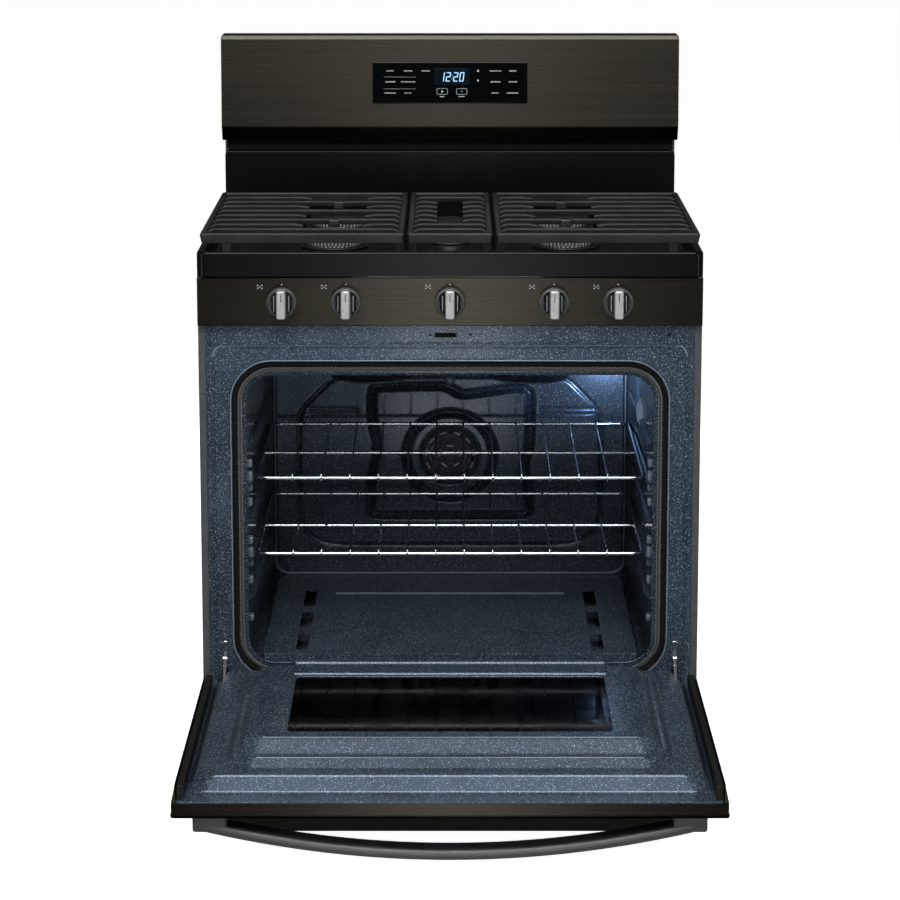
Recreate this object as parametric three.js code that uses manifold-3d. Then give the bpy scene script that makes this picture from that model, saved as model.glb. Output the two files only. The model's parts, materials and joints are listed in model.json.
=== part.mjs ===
// Freestanding gas range with five burners, a convection oven and a storage drawer.
//
// Millimetres, +Z up, +X to the right and +Y to the back, as the cook sees it. Heights are
// measured from the floor and depths from the face of the control panel. The door stands
// open, at a right angle to the oven, and everything else is at rest.

import * as THREE from 'three';
import { mergeVertices } from 'three/addons/utils/BufferGeometryUtils.js';
import Module from 'manifold-3d';

const wasm = await Module();
wasm.setup();

// ---------------------------------------------------------------- driving dimensions

// Overall sizes
const WIDTH = 759; // across the side panels
const BODY_DEPTH = 620; // control panel face to the back of the rear cover
const COOKTOP_HEIGHT = 914; // floor to the rim of the cooktop
const GUARD_HEIGHT = 276; // backguard above the rim

// General fits
const FIT = 0.3; // gap where two fixed pieces meet
const SHEET = 1.5; // sheet steel

// Casing
const FOOT_HEIGHT = 18;
const FOOT_RADIUS = 19;
const FOOT_STUD_RADIUS = 5;
const FOOT_STUD_LENGTH = 26; // above the base pan
const FOOT_INSET = 27; // foot centre from the outside of the casing, each way
const BASE_LIP = 20; // upturned sides of the base pan
const FRAME_Y = 10; // front plane of the oven frame and the side panels' flanges
const SIDE_FLANGE = 10.7; // visible front flange of a side panel
const VENT_LOUVRES = 6; // rows of louvres in the rear cover
const VENT_LOUVRE_SIZE = [150, 7];

// Cooktop
const RIM_HEIGHT = 37;
const RIM_OVERHANG = 5; // rim in front of the control panel face
const RIM_TOP_WIDTH = 9;
const RIM_EDGE = 4; // rounding of the rim's outer edge
const RIM_CORNER = 12; // rounding of the rim's corners in plan
const RIM_SLOPE = 10; // run of the slope inside the rim
const PAN_DEPTH = 17; // cooktop surface below the rim
const GUARD_DEPTH = 73.2; // front of the backsplash to the rear cover

// Control panel, knobs and valves
const PANEL_HEIGHT = 74;
const PANEL_GAP = 2; // between the rim and the control panel
const KNOB_COLUMNS = [-252, -156, 0, 156, 252];
const KNOB_RADIUS = 23;
const KNOB_DEPTH = 12; // round base of a knob
const KNOB_GRIP = [13.6, 43, 20]; // width, height and reach of the grip bar
const KNOB_STANDOFF = 3.6; // knob base in front of the panel
const STEM_RADIUS = 4;
const STEM_CLEARANCE = 0.5; // round the stem, in the knob and in the panel
const STEM_REACH = 22; // stem in front of the panel
const PUSH = 3; // travel of a knob pushed in
const VALVE_SIZE = [26, 30, 30];
const VALVE_Y = 22; // front of the valves
const MANIFOLD_RADIUS = 10;
const MANIFOLD_END = 30; // bare pipe beyond the outer valves

// Burners
const BURNER_COLUMN = 179; // round burners left and right of the middle
const HEAD_RADIUS = 52;
const HEAD_HEIGHT = 13;
const HEAD_THROAT_RADIUS = 18;
const HEAD_THROAT_LENGTH = 16; // below the cooktop surface
const CAP_RADIUS = 46;
const CAP_HEIGHT = 8;
const OVAL_LENGTH = 190;
const OVAL_WIDTH = 62;
const BURNER_CLEARANCE = 2; // round a throat in the cooktop

// Grates
const GRATE_TOP = 26; // above the rim
const GRATE_BAR = [9, 15]; // width and height of a bar
const GRATE_FRONT = 9; // front of the grates behind the control panel face
const GRATE_BACK_SPACE = 67; // grates to the backsplash
const GRATE_EDGE = 4.5; // grates inside the casing's width
const GRATE_BARS = 10;
const GRATE_MIDDLE_WIDTH = 128;
const GRATE_GAP = 5; // between two grates
const GRATE_BREAK = 92; // open middle of a broken bar over a round burner
const GRATE_MIDDLE_BREAK = 40; // the same over the oval burner
const GRATE_FOOT = 14;
const FRONT_BURNER_BAR = 3; // bar over the front burners, counted from the front
const REAR_BURNER_BAR = 7;

// Oven
const FRAME_TOP_SPACE = 57; // gasket's top line below the top of the frame
const GASKET_RADIUS = 4;
const GASKET_CORNER = 50;
const GASKET_SIDE_SPACE = 60.5; // gasket's centre line from the outside of the casing
const GASKET_RISE = 14.75; // gasket's centre line above the hinge axis
const CHANNEL_DEPTH = 8; // gasket channel in the frame
const CHANNEL_WALL = 11; // from the gasket's centre line to the channel's outer wall
const MOUTH = 10.5; // from the gasket's centre line to the oven's mouth
const CAVITY_BACK_SPACE = 119; // oven's back wall to the back of the rear cover
const FLOOR_PANEL_RISE = 28; // floor panel above the bottom of the oven
const FLOOR_PANEL_GAP = 21; // each side of the floor panel
const FLOOR_VENTS = 3;
const FLOOR_VENT_SIZE = [19, 94];
const FLOOR_VENT_EDGE = 49; // vents to the side of the floor panel
const FLOOR_VENT_FIRST = 17;
const FLOOR_VENT_GAP = 35;
const BURNER_TUBE_RADIUS = 8;
const BROIL_DROP = 20; // broil burner's axis below the ceiling
const SHIELD_RADIUS = 60;
const SHIELD_COLUMN = 124;
const SHIELD_DROP = 38; // shields below the ceiling
const SHIELD_Y = 205;
const LAMP_RADIUS = 24;
const LAMP_REACH = 14;
const LAMP_Y = 249;
const LAMP_DROP = 104; // lamp's centre below the ceiling
const FAN_RADIUS = 62;
const FAN_BLADES = 6;
const FAN_DEPTH = 22;
const FAN_SPACE = 6; // fan behind the oven's back wall
const FAN_RISE = 233; // fan's axis above the bottom of the oven
const FAN_GUARD_RADIUS = 80;
const MOTOR_RADIUS = 38;
const MOTOR_LENGTH = 50;
const SHAFT_RADIUS = 3;

// Racks
const RACK_SIDE_SPACE = 8; // rack to the oven's wall
const RACK_FRONT = 60;
const RACK_BACK_SPACE = 31; // rack to the oven's back wall
const RACK_WIRE = 3;
const RACK_RAIL = 6;
const RACK_WIRES = 12;
const GUIDE_LEVELS = 5;
const GUIDE_FIRST = 110; // lowest guide above the bottom of the oven
const GUIDE_LAST = 116; // highest guide below the ceiling
const RACK_LEVELS = [1, 3]; // guides that hold the racks, from 0
const RACK_LIFT = 4; // rack above its guide

// Door, drawn closed
const DOOR_FRONT = -39; // outer face
const DOOR_EDGE = 24.5; // thickness at the rim
const DOOR_TOP_GAP = 4; // below the control panel
const DOOR_FRAME_GAP = 1.5; // door's inner seal face to the oven frame
const HINGE_HEIGHT = 247.25;
const HINGE_SETBACK = 14.25; // hinge axis in front of the control panel face
const LINER_SIDE_GAP = 11.5; // liner inside the skin's width
const LINER_STEPS = [9, 27]; // rise of the middle step and of the plateau above the seal face
const WINDOW_FRAME = 56; // plateau round the window at the sides
const WINDOW_FRAME_TOP = 27;
const WINDOW_FRAME_BOTTOM = 58;
const INNER_GLASS = 4;
const INNER_GLASS_LAP = 9; // inner glass beyond the window, all round
const OUTER_GLASS = 4;
const OUTER_GLASS_HALF = 265;
const OUTER_GLASS_TOP = 150; // below the door's top
const OUTER_GLASS_BOTTOM = 112; // above the door's bottom
const HANDLE_DROP = 66; // handle's centre below the door's top
const HANDLE_HEIGHT = 35;
const HANDLE_THICKNESS = 12;
const HANDLE_SIDE_SPACE = 25.5; // handle's end inside the door's width
const HANDLE_POST = 47;
const HANDLE_REACH = 78; // handle's outer face from the door's face, in the middle
const HANDLE_END_REACH = 33;
const HINGE_SIDE_SPACE = 34.5; // hinge arm's middle inside the casing's width
const HINGE_PLATE = 4;
const HINGE_SLOT = 12;

// Drawer
const DRAWER_GAP = 13; // below the door
const DRAWER_FLOOR_GAP = 0.4; // drawer front above the foot height
const DRAWER_SIDE_SPACE = 45; // drawer box to the outside of the casing
const DRAWER_BACK_SPACE = 60;
const DRAWER_RISE = 8; // box above the base pan
const DRAWER_TOP_SPACE = 21; // box below the drawer front's top

// Backguard
const SPLASH_INSET = 5; // backsplash inside the casing's width
const SPLASH_HEIGHT = 86; // above the rim
const VENT_GAP = 17; // oven vent between backsplash and fascia
const FASCIA_BEVEL = [14, 23]; // set-back and height of the lower bevel
const FASCIA_LEAN = 9; // how far the face leans back
const FASCIA_FOOT = 4; // foot of the face in front of the backsplash
const FASCIA_EDGE = 4; // front edge of the top below its back
const DISPLAY = [257, 67.5, 3];
const DISPLAY_RISE = 40; // display above the foot of the face

// ---------------------------------------------------------------- sizes worked out

const HALF = WIDTH / 2;
const HINGE_COLUMN = HALF - HINGE_SIDE_SPACE;
const RIM_BOTTOM = COOKTOP_HEIGHT - RIM_HEIGHT;
const PAN_Z = COOKTOP_HEIGHT - PAN_DEPTH;
const PANEL_TOP = RIM_BOTTOM - PANEL_GAP;
const PANEL_BOTTOM = PANEL_TOP - PANEL_HEIGHT;
const KNOB_Z = PANEL_BOTTOM + PANEL_HEIGHT / 2;
const COVER_Y = BODY_DEPTH - SHEET; // front of the rear cover
const INNER_BACK = COVER_Y - FIT;
const SPLASH_Y = INNER_BACK - GUARD_DEPTH;
const GUARD_TOP = COOKTOP_HEIGHT + GUARD_HEIGHT;
const SPLASH_TOP = COOKTOP_HEIGHT + SPLASH_HEIGHT;
const FRAME_HALF = HALF - SIDE_FLANGE - FIT;
const FRAME_TOP = PANEL_BOTTOM - FIT;
const GASKET_BOTTOM = HINGE_HEIGHT + GASKET_RISE;
const GASKET_TOP = FRAME_TOP - FRAME_TOP_SPACE - SIDE_FLANGE;
const GASKET_HALF = HALF - GASKET_SIDE_SPACE;
const CAVITY_HALF = GASKET_HALF - MOUTH;
const CAVITY_TOP = GASKET_TOP - MOUTH;
const CAVITY_BOTTOM = GASKET_BOTTOM - GASKET_RADIUS - FIT;
const CAVITY_FRONT = FRAME_Y + CHANNEL_DEPTH + SHEET + FIT;
const CAVITY_BACK = BODY_DEPTH - CAVITY_BACK_SPACE;
const FLOOR_PANEL_Z = CAVITY_BOTTOM + FLOOR_PANEL_RISE;
const DOOR_TOP = PANEL_BOTTOM - DOOR_TOP_GAP;
const DOOR_SEAL_Y = FRAME_Y - DOOR_FRAME_GAP;
const DOOR_RIM_Y = DOOR_FRONT + DOOR_EDGE;
const DOOR_BOTTOM = HINGE_HEIGHT - HINGE_SETBACK - DOOR_SEAL_Y;
const DRAWER_TOP = DOOR_BOTTOM - DRAWER_GAP;
const DRAWER_BOTTOM = FOOT_HEIGHT + DRAWER_FLOOR_GAP;
const BURNER_NAMES = ['front_left', 'rear_left', 'center', 'rear_right', 'front_right'];

// ---------------------------------------------------------------- geometry helpers

const ARC_STEPS = 4; // segments in each corner of a rounded rectangle

// Points round the rectangle between (u0, v0) and (u1, v1), with corners of radius r.
function rectanglePoints(u0, u1, v0, v1, r) {
  const centres = [[u1 - r, v1 - r], [u0 + r, v1 - r], [u0 + r, v0 + r], [u1 - r, v0 + r]];
  const points = [];
  centres.forEach(([u, v], corner) => {
    for (let i = 0; i <= ARC_STEPS; i += 1) {
      const angle = (corner + i / ARC_STEPS) * Math.PI / 2;
      points.push([u + r * Math.cos(angle), v + r * Math.sin(angle)]);
    }
  });
  return points;
}

function shapeOf(points) {
  return new THREE.Shape(points.map(([u, v]) => new THREE.Vector2(u, v)));
}

// Turns a geometry inside out where its faces point in.
function outward(geometry) {
  const p = geometry.attributes.position;
  const index = geometry.index.array;
  const [a, b, c] = [new THREE.Vector3(), new THREE.Vector3(), new THREE.Vector3()];
  let volume = 0;
  for (let i = 0; i < index.length; i += 3) {
    a.fromBufferAttribute(p, index[i]);
    b.fromBufferAttribute(p, index[i + 1]);
    c.fromBufferAttribute(p, index[i + 2]);
    volume += a.dot(b.cross(c));
  }
  if (volume < 0) index.reverse();
  return geometry;
}

// A closed skin through rings of points. It is capped at its first and last ring, or, round
// an opening, its last ring meets its first.
function skin(rings, roundAnOpening = false) {
  const count = rings[0].length;
  const index = [];
  const strips = roundAnOpening ? rings.length : rings.length - 1;
  for (let i = 0; i < strips; i += 1) {
    const a = i * count;
    const b = ((i + 1) % rings.length) * count;
    for (let j = 0; j < count; j += 1) {
      const k = (j + 1) % count;
      index.push(a + j, a + k, b + k, a + j, b + k, b + j);
    }
  }
  if (!roundAnOpening) {
    const end = (rings.length - 1) * count;
    for (let j = 1; j < count - 1; j += 1) {
      index.push(0, j + 1, j, end, end + j, end + j + 1);
    }
  }
  const geometry = new THREE.BufferGeometry();
  geometry.setAttribute('position', new THREE.Float32BufferAttribute(rings.flat(2), 3));
  geometry.setIndex(index);
  return outward(geometry);
}

// A ring that stands in the plane at depth y, and one that lies at height z.
function standingRing([x0, x1, z0, z1], r, y) {
  return rectanglePoints(x0, x1, z0, z1, r).map(([x, z]) => [x, y, z]);
}

function lyingRing([x0, x1, y0, y1], r, z) {
  return rectanglePoints(x0, x1, y0, y1, r).map(([x, y]) => [x, y, z]);
}

function box(x0, x1, y0, y1, z0, z1) {
  const geometry = new THREE.BoxGeometry(x1 - x0, y1 - y0, z1 - z0);
  return geometry.translate((x0 + x1) / 2, (y0 + y1) / 2, (z0 + z1) / 2);
}

// A shape drawn in plan and raised from z0 to z1.
function raised(shape, z0, z1) {
  const geometry = new THREE.ExtrudeGeometry(shape, { depth: z1 - z0, bevelEnabled: false });
  return geometry.translate(0, 0, z0);
}

// A shape drawn in the front view, as (x, z), that runs back from y0 to y1.
function runBack(shape, y0, y1) {
  return raised(shape, 0, y1 - y0).rotateX(Math.PI / 2).translate(0, y1, 0);
}

// A shape drawn in the side view, as (y, z), that runs across from x0 to x1.
function runAcross(shape, x0, x1) {
  const geometry = raised(shape, x0, x1);
  const turn = new THREE.Matrix4().makeBasis(
    new THREE.Vector3(0, 1, 0),
    new THREE.Vector3(0, 0, 1),
    new THREE.Vector3(1, 0, 0),
  );
  return geometry.applyMatrix4(turn);
}

// A solid of revolution about the vertical: the profile is pairs of radius and height.
function turned(profile, segments) {
  const points = profile.map(([r, z]) => new THREE.Vector2(r, z));
  return new THREE.LatheGeometry(points, segments).rotateX(Math.PI / 2);
}

function rod(radius, length, segments) {
  return turned([[0, 0], [radius, 0], [radius, length], [0, length]], segments);
}

// Rods and turned pieces whose axis points forward, back and to the left.
const forward = (geometry) => geometry.rotateX(Math.PI / 2);
const backward = (geometry) => geometry.rotateX(-Math.PI / 2);
const leftward = (geometry) => geometry.rotateY(-Math.PI / 2);
const rightward = (geometry) => geometry.rotateY(Math.PI / 2);

function solidOf(geometry) {
  const bare = geometry.clone();
  bare.deleteAttribute('normal');
  bare.deleteAttribute('uv');
  const merged = mergeVertices(bare, 1e-4);
  return new wasm.Manifold(new wasm.Mesh({
    numProp: 3,
    vertProperties: new Float32Array(merged.attributes.position.array),
    triVerts: new Uint32Array(merged.index.array),
  }));
}

function geometryOf(solid) {
  const mesh = solid.getMesh();
  const geometry = new THREE.BufferGeometry();
  geometry.setAttribute('position', new THREE.BufferAttribute(mesh.vertProperties, 3));
  geometry.setIndex(new THREE.BufferAttribute(mesh.triVerts, 1));
  return geometry;
}

function join(...pieces) {
  return geometryOf(pieces.map(solidOf).reduce((whole, piece) => whole.add(piece)));
}

function cut(base, ...tools) {
  return geometryOf(tools.map(solidOf).reduce((rest, tool) => rest.subtract(tool), solidOf(base)));
}

// ---------------------------------------------------------------- materials

const finish = (color, roughness, metalness) => (
  new THREE.MeshStandardMaterial({ color, roughness, metalness })
);
const BLACK_STEEL = finish(0x34322d, 0.38, 0.85);
const BLACK_PAINT = finish(0x161718, 0.55, 0.1);
const BLACK_ENAMEL = finish(0x121314, 0.18, 0.1);
const BLUE_ENAMEL = finish(0x2b3a47, 0.28, 0.1);
const GALVANISED = finish(0x8d9093, 0.45, 0.9);
const CAST_IRON = finish(0x2c2d2e, 0.6, 0.3);
const ALUMINIUM = finish(0xb9bbbc, 0.4, 0.9);
const CHROME = finish(0xc9ccce, 0.15, 1);
const BRASS = finish(0xb49a5a, 0.35, 0.9);
const BLACK_GLASS = finish(0x08090b, 0.05, 0);
const DARK_GLASS = finish(0x10161a, 0.05, 0);
const LAMP_GLASS = finish(0xe8f0f8, 0.2, 0);
const SEAL = finish(0x6d6558, 0.9, 0);
const HANDLE_STEEL = finish(0x5a5a5b, 0.3, 0.9);
const KNOB_STEEL = finish(0x2a2b2d, 0.3, 0.8);

function addPart(parent, name, geometry, material) {
  const mesh = new THREE.Mesh(geometry, material);
  mesh.name = name;
  parent.add(mesh);
  return mesh;
}

const range = new THREE.Group();
const SIDES = [['left', -1], ['right', 1]];

// ---------------------------------------------------------------- casing

// A side panel is folded inwards at the front and at the back.
function sidePanel(side) {
  const [outer, inner, lip] = [HALF, HALF - SHEET, HALF - SIDE_FLANGE].map((x) => x * side);
  const shape = shapeOf([
    [lip, FRAME_Y], [outer, FRAME_Y], [outer, INNER_BACK], [lip, INNER_BACK],
    [lip, INNER_BACK - SHEET], [inner, INNER_BACK - SHEET], [inner, FRAME_Y + SHEET],
    [lip, FRAME_Y + SHEET],
  ]);
  return raised(shape, FOOT_HEIGHT, RIM_BOTTOM - FIT);
}

SIDES.forEach(([name, side]) => {
  addPart(range, `side_panel_${name}`, sidePanel(side), BLACK_PAINT);
});

const FEET = [];
[['front', FOOT_INSET + FRAME_Y], ['rear', BODY_DEPTH - FOOT_INSET]].forEach(([row, y]) => {
  SIDES.forEach(([name, side]) => {
    FEET.push({ name: `leveling_foot_${row}_${name}`, x: side * (HALF - FOOT_INSET), y });
  });
});

function basePan() {
  const [outer, inner] = [HALF - SHEET - FIT, HALF - 2 * SHEET - FIT];
  const [low, floor, lip] = [FOOT_HEIGHT, FOOT_HEIGHT + SHEET, FOOT_HEIGHT + BASE_LIP];
  const shape = shapeOf([
    [-outer, low], [outer, low], [outer, lip], [inner, lip],
    [inner, floor], [-inner, floor], [-inner, lip], [-outer, lip],
  ]);
  const pan = runBack(shape, FRAME_Y + SHEET + FIT, INNER_BACK - SHEET - FIT);
  const holes = FEET.map(({ x, y }) => (
    rod(FOOT_STUD_RADIUS + STEM_CLEARANCE, 2 * FOOT_HEIGHT, 12).translate(x, y, FOOT_HEIGHT / 2)
  ));
  return cut(pan, ...holes);
}

addPart(range, 'base_pan', basePan(), GALVANISED);

FEET.forEach(({ name, x, y }) => {
  const neck = FOOT_HEIGHT - FIT;
  const top = FOOT_HEIGHT + FOOT_STUD_LENGTH;
  const profile = [
    [0, 0], [FOOT_RADIUS, 0], [FOOT_RADIUS, FOOT_HEIGHT * 0.3], [FOOT_RADIUS * 0.6, neck],
    [FOOT_STUD_RADIUS, neck], [FOOT_STUD_RADIUS, top], [0, top],
  ];
  addPart(range, name, turned(profile, 12), GALVANISED).position.set(x, y, 0);
});

// The rear cover closes the casing and the backguard. Louvres behind the oven let heat out.
function rearCover() {
  const shape = shapeOf(rectanglePoints(
    -HALF + FIT,
    HALF - FIT,
    FOOT_HEIGHT + BASE_LIP,
    GUARD_TOP - SHEET - FIT,
    SHEET,
  ));
  const [louvreHalf, louvreHeight] = VENT_LOUVRE_SIZE;
  const louvres = [];
  for (let i = 0; i < VENT_LOUVRES; i += 1) {
    const z = RIM_BOTTOM - (i + 1) * 3 * louvreHeight;
    louvres.push(box(-louvreHalf, louvreHalf, COVER_Y - 1, BODY_DEPTH + 1, z, z + louvreHeight));
  }
  return cut(runBack(shape, COVER_Y, BODY_DEPTH), ...louvres);
}

addPart(range, 'rear_cover', rearCover(), GALVANISED);

// ---------------------------------------------------------------- oven

// Bounds of the gasket's centre line, grown by a margin: left, right, bottom, top.
function seal(margin) {
  return [
    -GASKET_HALF - margin, GASKET_HALF + margin, GASKET_BOTTOM - margin, GASKET_TOP + margin,
  ];
}

// The frame is one sheet, with a channel round the oven's mouth that seats the gasket.
function ovenFrame() {
  const bottom = DRAWER_TOP + DRAWER_GAP / 2;
  const outline = [-FRAME_HALF, FRAME_HALF, bottom, FRAME_TOP];
  const floor = FRAME_Y + CHANNEL_DEPTH;
  const wall = CHANNEL_WALL + SHEET;
  const sheet = skin([
    standingRing(outline, SHEET, FRAME_Y),
    standingRing(seal(CHANNEL_WALL), GASKET_CORNER + CHANNEL_WALL, FRAME_Y),
    standingRing(seal(CHANNEL_WALL), GASKET_CORNER + CHANNEL_WALL, floor),
    standingRing(seal(-MOUTH), GASKET_CORNER - MOUTH, floor),
    standingRing(seal(-MOUTH), GASKET_CORNER - MOUTH, floor + SHEET),
    standingRing(seal(wall), GASKET_CORNER + wall, floor + SHEET),
    standingRing(seal(wall), GASKET_CORNER + wall, FRAME_Y + SHEET),
    standingRing(outline, SHEET, FRAME_Y + SHEET),
  ], true);
  const slots = SIDES.map(([, side]) => hingeSlot(side, FRAME_Y - 1, FRAME_Y + SHEET + 1));
  return cut(sheet, ...slots);
}

// The opening that a hinge arm hooks into, and the heights that it spans.
const HINGE_HOOK = [HINGE_HEIGHT + 19, HINGE_HEIGHT + 59];

function hingeSlot(side, y0, y1) {
  const x = side * HINGE_COLUMN;
  const half = HINGE_PLATE / 2 + 2;
  return box(x - half, x + half, y0, y1, ...HINGE_HOOK);
}

addPart(range, 'oven_front_frame', ovenFrame(), BLUE_ENAMEL);

function doorGasket() {
  const rings = [];
  const sides = 8;
  const y = FRAME_Y - 0.7 + GASKET_RADIUS;
  for (let i = 0; i < sides; i += 1) {
    const angle = (i / sides) * 2 * Math.PI;
    const margin = GASKET_RADIUS * Math.cos(angle);
    rings.push(standingRing(seal(margin), GASKET_CORNER + margin,
      y + GASKET_RADIUS * Math.sin(angle)));
  }
  return skin(rings, true);
}

addPart(range, 'door_gasket', doorGasket(), SEAL);

// Each side wall turns in at its foot, and the two meet in the middle of the oven's bottom.
function ovenWall(side) {
  const [inner, outer] = [CAVITY_HALF * side, (CAVITY_HALF + SHEET) * side];
  const [low, floor] = [CAVITY_BOTTOM - SHEET, CAVITY_BOTTOM];
  const middle = (FIT / 2) * side;
  const shape = shapeOf([
    [middle, low], [outer, low], [outer, CAVITY_TOP - FIT], [inner, CAVITY_TOP - FIT],
    [inner, floor], [middle, floor],
  ]);
  return runBack(shape, CAVITY_FRONT, CAVITY_BACK);
}

SIDES.forEach(([name, side]) => {
  addPart(range, `oven_wall_${name}`, ovenWall(side), BLUE_ENAMEL);
});

const WRAP = CAVITY_HALF + SHEET; // outside of the oven's walls
addPart(
  range,
  'oven_ceiling',
  box(-WRAP, WRAP, CAVITY_FRONT, CAVITY_BACK, CAVITY_TOP, CAVITY_TOP + SHEET),
  BLUE_ENAMEL,
);

const FAN_Z = CAVITY_BOTTOM + FAN_RISE;

// The back wall bulges round the fan into a low round guard with a ring of air slots.
function ovenBackWall() {
  const front = CAVITY_BACK + FIT;
  const plate = box(-WRAP, WRAP, front, front + SHEET, CAVITY_BOTTOM - SHEET, CAVITY_TOP + SHEET);
  const guard = forward(turned(
    [[0, 0], [FAN_GUARD_RADIUS, 0], [FAN_GUARD_RADIUS - 6, 5], [0, 5]],
    24,
  )).translate(0, front + SHEET / 2, FAN_Z);
  const recess = forward(rod(FAN_GUARD_RADIUS - 13, 3, 24)).translate(0, front - 2, FAN_Z);
  const slots = [];
  for (let i = 0; i < 8; i += 1) {
    const slot = box(-3, 3, front - 10, front + 10, 20, 44);
    slot.rotateY((i / 8) * 2 * Math.PI);
    slots.push(slot.translate(0, 0, FAN_Z));
  }
  return cut(join(plate, guard), recess, ...slots);
}

addPart(range, 'oven_back_wall', ovenBackWall(), BLUE_ENAMEL);

function floorPanel() {
  const half = CAVITY_HALF - FLOOR_PANEL_GAP;
  const [front, back] = [CAVITY_FRONT + FIT, CAVITY_BACK - FIT];
  const shape = shapeOf(rectanglePoints(-half, half, front, back, 6));
  const [ventWidth, ventLength] = FLOOR_VENT_SIZE;
  SIDES.forEach(([, side]) => {
    for (let i = 0; i < FLOOR_VENTS; i += 1) {
      const share = (back - front - 2 * FLOOR_VENT_FIRST - FLOOR_VENTS * ventLength);
      const pitch = ventLength + Math.min(FLOOR_VENT_GAP, share / (FLOOR_VENTS - 1));
      const y = front + FLOOR_VENT_FIRST + i * pitch;
      const x = side * (half - FLOOR_VENT_EDGE - ventWidth / 2);
      const half2 = ventWidth / 2;
      shape.holes.push(shapeOf(rectanglePoints(x - half2, x + half2, y, y + ventLength, 4)));
    }
  });
  return raised(shape, FLOOR_PANEL_Z - SHEET, FLOOR_PANEL_Z);
}

addPart(range, 'oven_floor_panel', floorPanel(), BLUE_ENAMEL);

// The bake burner is a tube under the floor panel, with a cross tube that steadies it.
function bakeBurner() {
  const z = (CAVITY_BOTTOM + FLOOR_PANEL_Z - SHEET) / 2;
  const length = CAVITY_BACK - CAVITY_FRONT - 40;
  const tube = backward(rod(BURNER_TUBE_RADIUS, length, 10)).translate(0, CAVITY_FRONT + 30, z);
  const cross = box(-120, 120, 0, 20, -2, 2).translate(0, (CAVITY_FRONT + CAVITY_BACK) / 2, z);
  return join(tube, cross);
}

addPart(range, 'bake_burner', bakeBurner(), GALVANISED);

// The broil burner hangs under the ceiling and carries two round heat shields.
function broilBurner() {
  const z = CAVITY_TOP - BROIL_DROP;
  const length = CAVITY_BACK - CAVITY_FRONT - 90;
  const tube = backward(rod(BURNER_TUBE_RADIUS, length, 10)).translate(0, CAVITY_FRONT + 60, z);
  const low = CAVITY_TOP - SHIELD_DROP;
  const bar = box(-SHIELD_COLUMN, SHIELD_COLUMN, SHIELD_Y - 12, SHIELD_Y + 12, low + 5, z - 3);
  const shields = SIDES.map(([, side]) => turned(
    [[0, 0], [SHIELD_RADIUS - 8, 0], [SHIELD_RADIUS, 5], [SHIELD_RADIUS, 7], [0, 7]],
    20,
  ).translate(side * SHIELD_COLUMN, SHIELD_Y, low));
  return join(tube, bar, ...shields);
}

addPart(range, 'broil_burner', broilBurner(), GALVANISED);

// The lamp's glass stands out of the right wall.
const lamp = leftward(turned(
  [[0, 0], [LAMP_RADIUS, 0], [LAMP_RADIUS, 4], [LAMP_RADIUS * 0.8, LAMP_REACH - 3],
    [LAMP_RADIUS * 0.5, LAMP_REACH], [0, LAMP_REACH]],
  16,
));
addPart(range, 'oven_lamp', lamp, LAMP_GLASS)
  .position.set(CAVITY_HALF - FIT, LAMP_Y, CAVITY_TOP - LAMP_DROP);

// The fan turns on the motor's shaft behind the back wall.
const FAN_Y = CAVITY_BACK + FIT + SHEET + FAN_SPACE;

function convectionFan() {
  const hub = rod(12, FAN_DEPTH, 16);
  const plate = rod(FAN_RADIUS * 0.6, 2, 16);
  const blades = [];
  for (let i = 0; i < FAN_BLADES; i += 1) {
    const blade = box(10, FAN_RADIUS, -1, 1, 0, FAN_DEPTH);
    blades.push(blade.rotateZ((i / FAN_BLADES) * 2 * Math.PI));
  }
  const bore = rod(SHAFT_RADIUS + FIT, FAN_DEPTH - 4, 12).translate(0, 0, 6);
  return backward(cut(join(hub, plate, ...blades), bore));
}

addPart(range, 'convection_fan', convectionFan(), ALUMINIUM).position.set(0, FAN_Y, FAN_Z);

function fanMotor() {
  const start = FAN_DEPTH + 5;
  const end = start + MOTOR_LENGTH;
  return backward(turned([
    [0, 8], [SHAFT_RADIUS, 8], [SHAFT_RADIUS, start], [MOTOR_RADIUS, start],
    [MOTOR_RADIUS, end], [0, end],
  ], 16));
}

addPart(range, 'fan_motor', fanMotor(), GALVANISED).position.set(0, FAN_Y, FAN_Z);

// ---------------------------------------------------------------- oven racks

const GUIDE_PITCH = (CAVITY_TOP - GUIDE_LAST - CAVITY_BOTTOM - GUIDE_FIRST) / (GUIDE_LEVELS - 1);
const RACK_HALF = CAVITY_HALF - RACK_SIDE_SPACE;
const RACK_BACK = CAVITY_BACK - RACK_BACK_SPACE;

// A rack is a flat grid: a rail all round, one across, and wires that run front to back.
function rack() {
  const shape = shapeOf(rectanglePoints(-RACK_HALF, RACK_HALF, RACK_FRONT, RACK_BACK, 12));
  const middle = (RACK_FRONT + RACK_BACK) / 2;
  const rows = [
    [RACK_FRONT + RACK_RAIL, middle - RACK_RAIL / 2],
    [middle + RACK_RAIL / 2, RACK_BACK - RACK_RAIL],
  ];
  const pitch = (2 * RACK_HALF - RACK_RAIL) / (RACK_WIRES + 1);
  const spaces = [];
  for (let i = 0; i <= RACK_WIRES; i += 1) {
    const left = -RACK_HALF + RACK_RAIL / 2 + i * pitch;
    const x0 = left + (i === 0 ? RACK_RAIL : RACK_WIRE) / 2;
    const x1 = left + pitch - (i === RACK_WIRES ? RACK_RAIL : RACK_WIRE) / 2;
    rows.forEach(([y0, y1]) => {
      spaces.push(box(x0, x1, y0, y1, -1, RACK_RAIL + 1));
    });
  }
  return cut(raised(shape, 0, RACK_RAIL), ...spaces);
}

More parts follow.
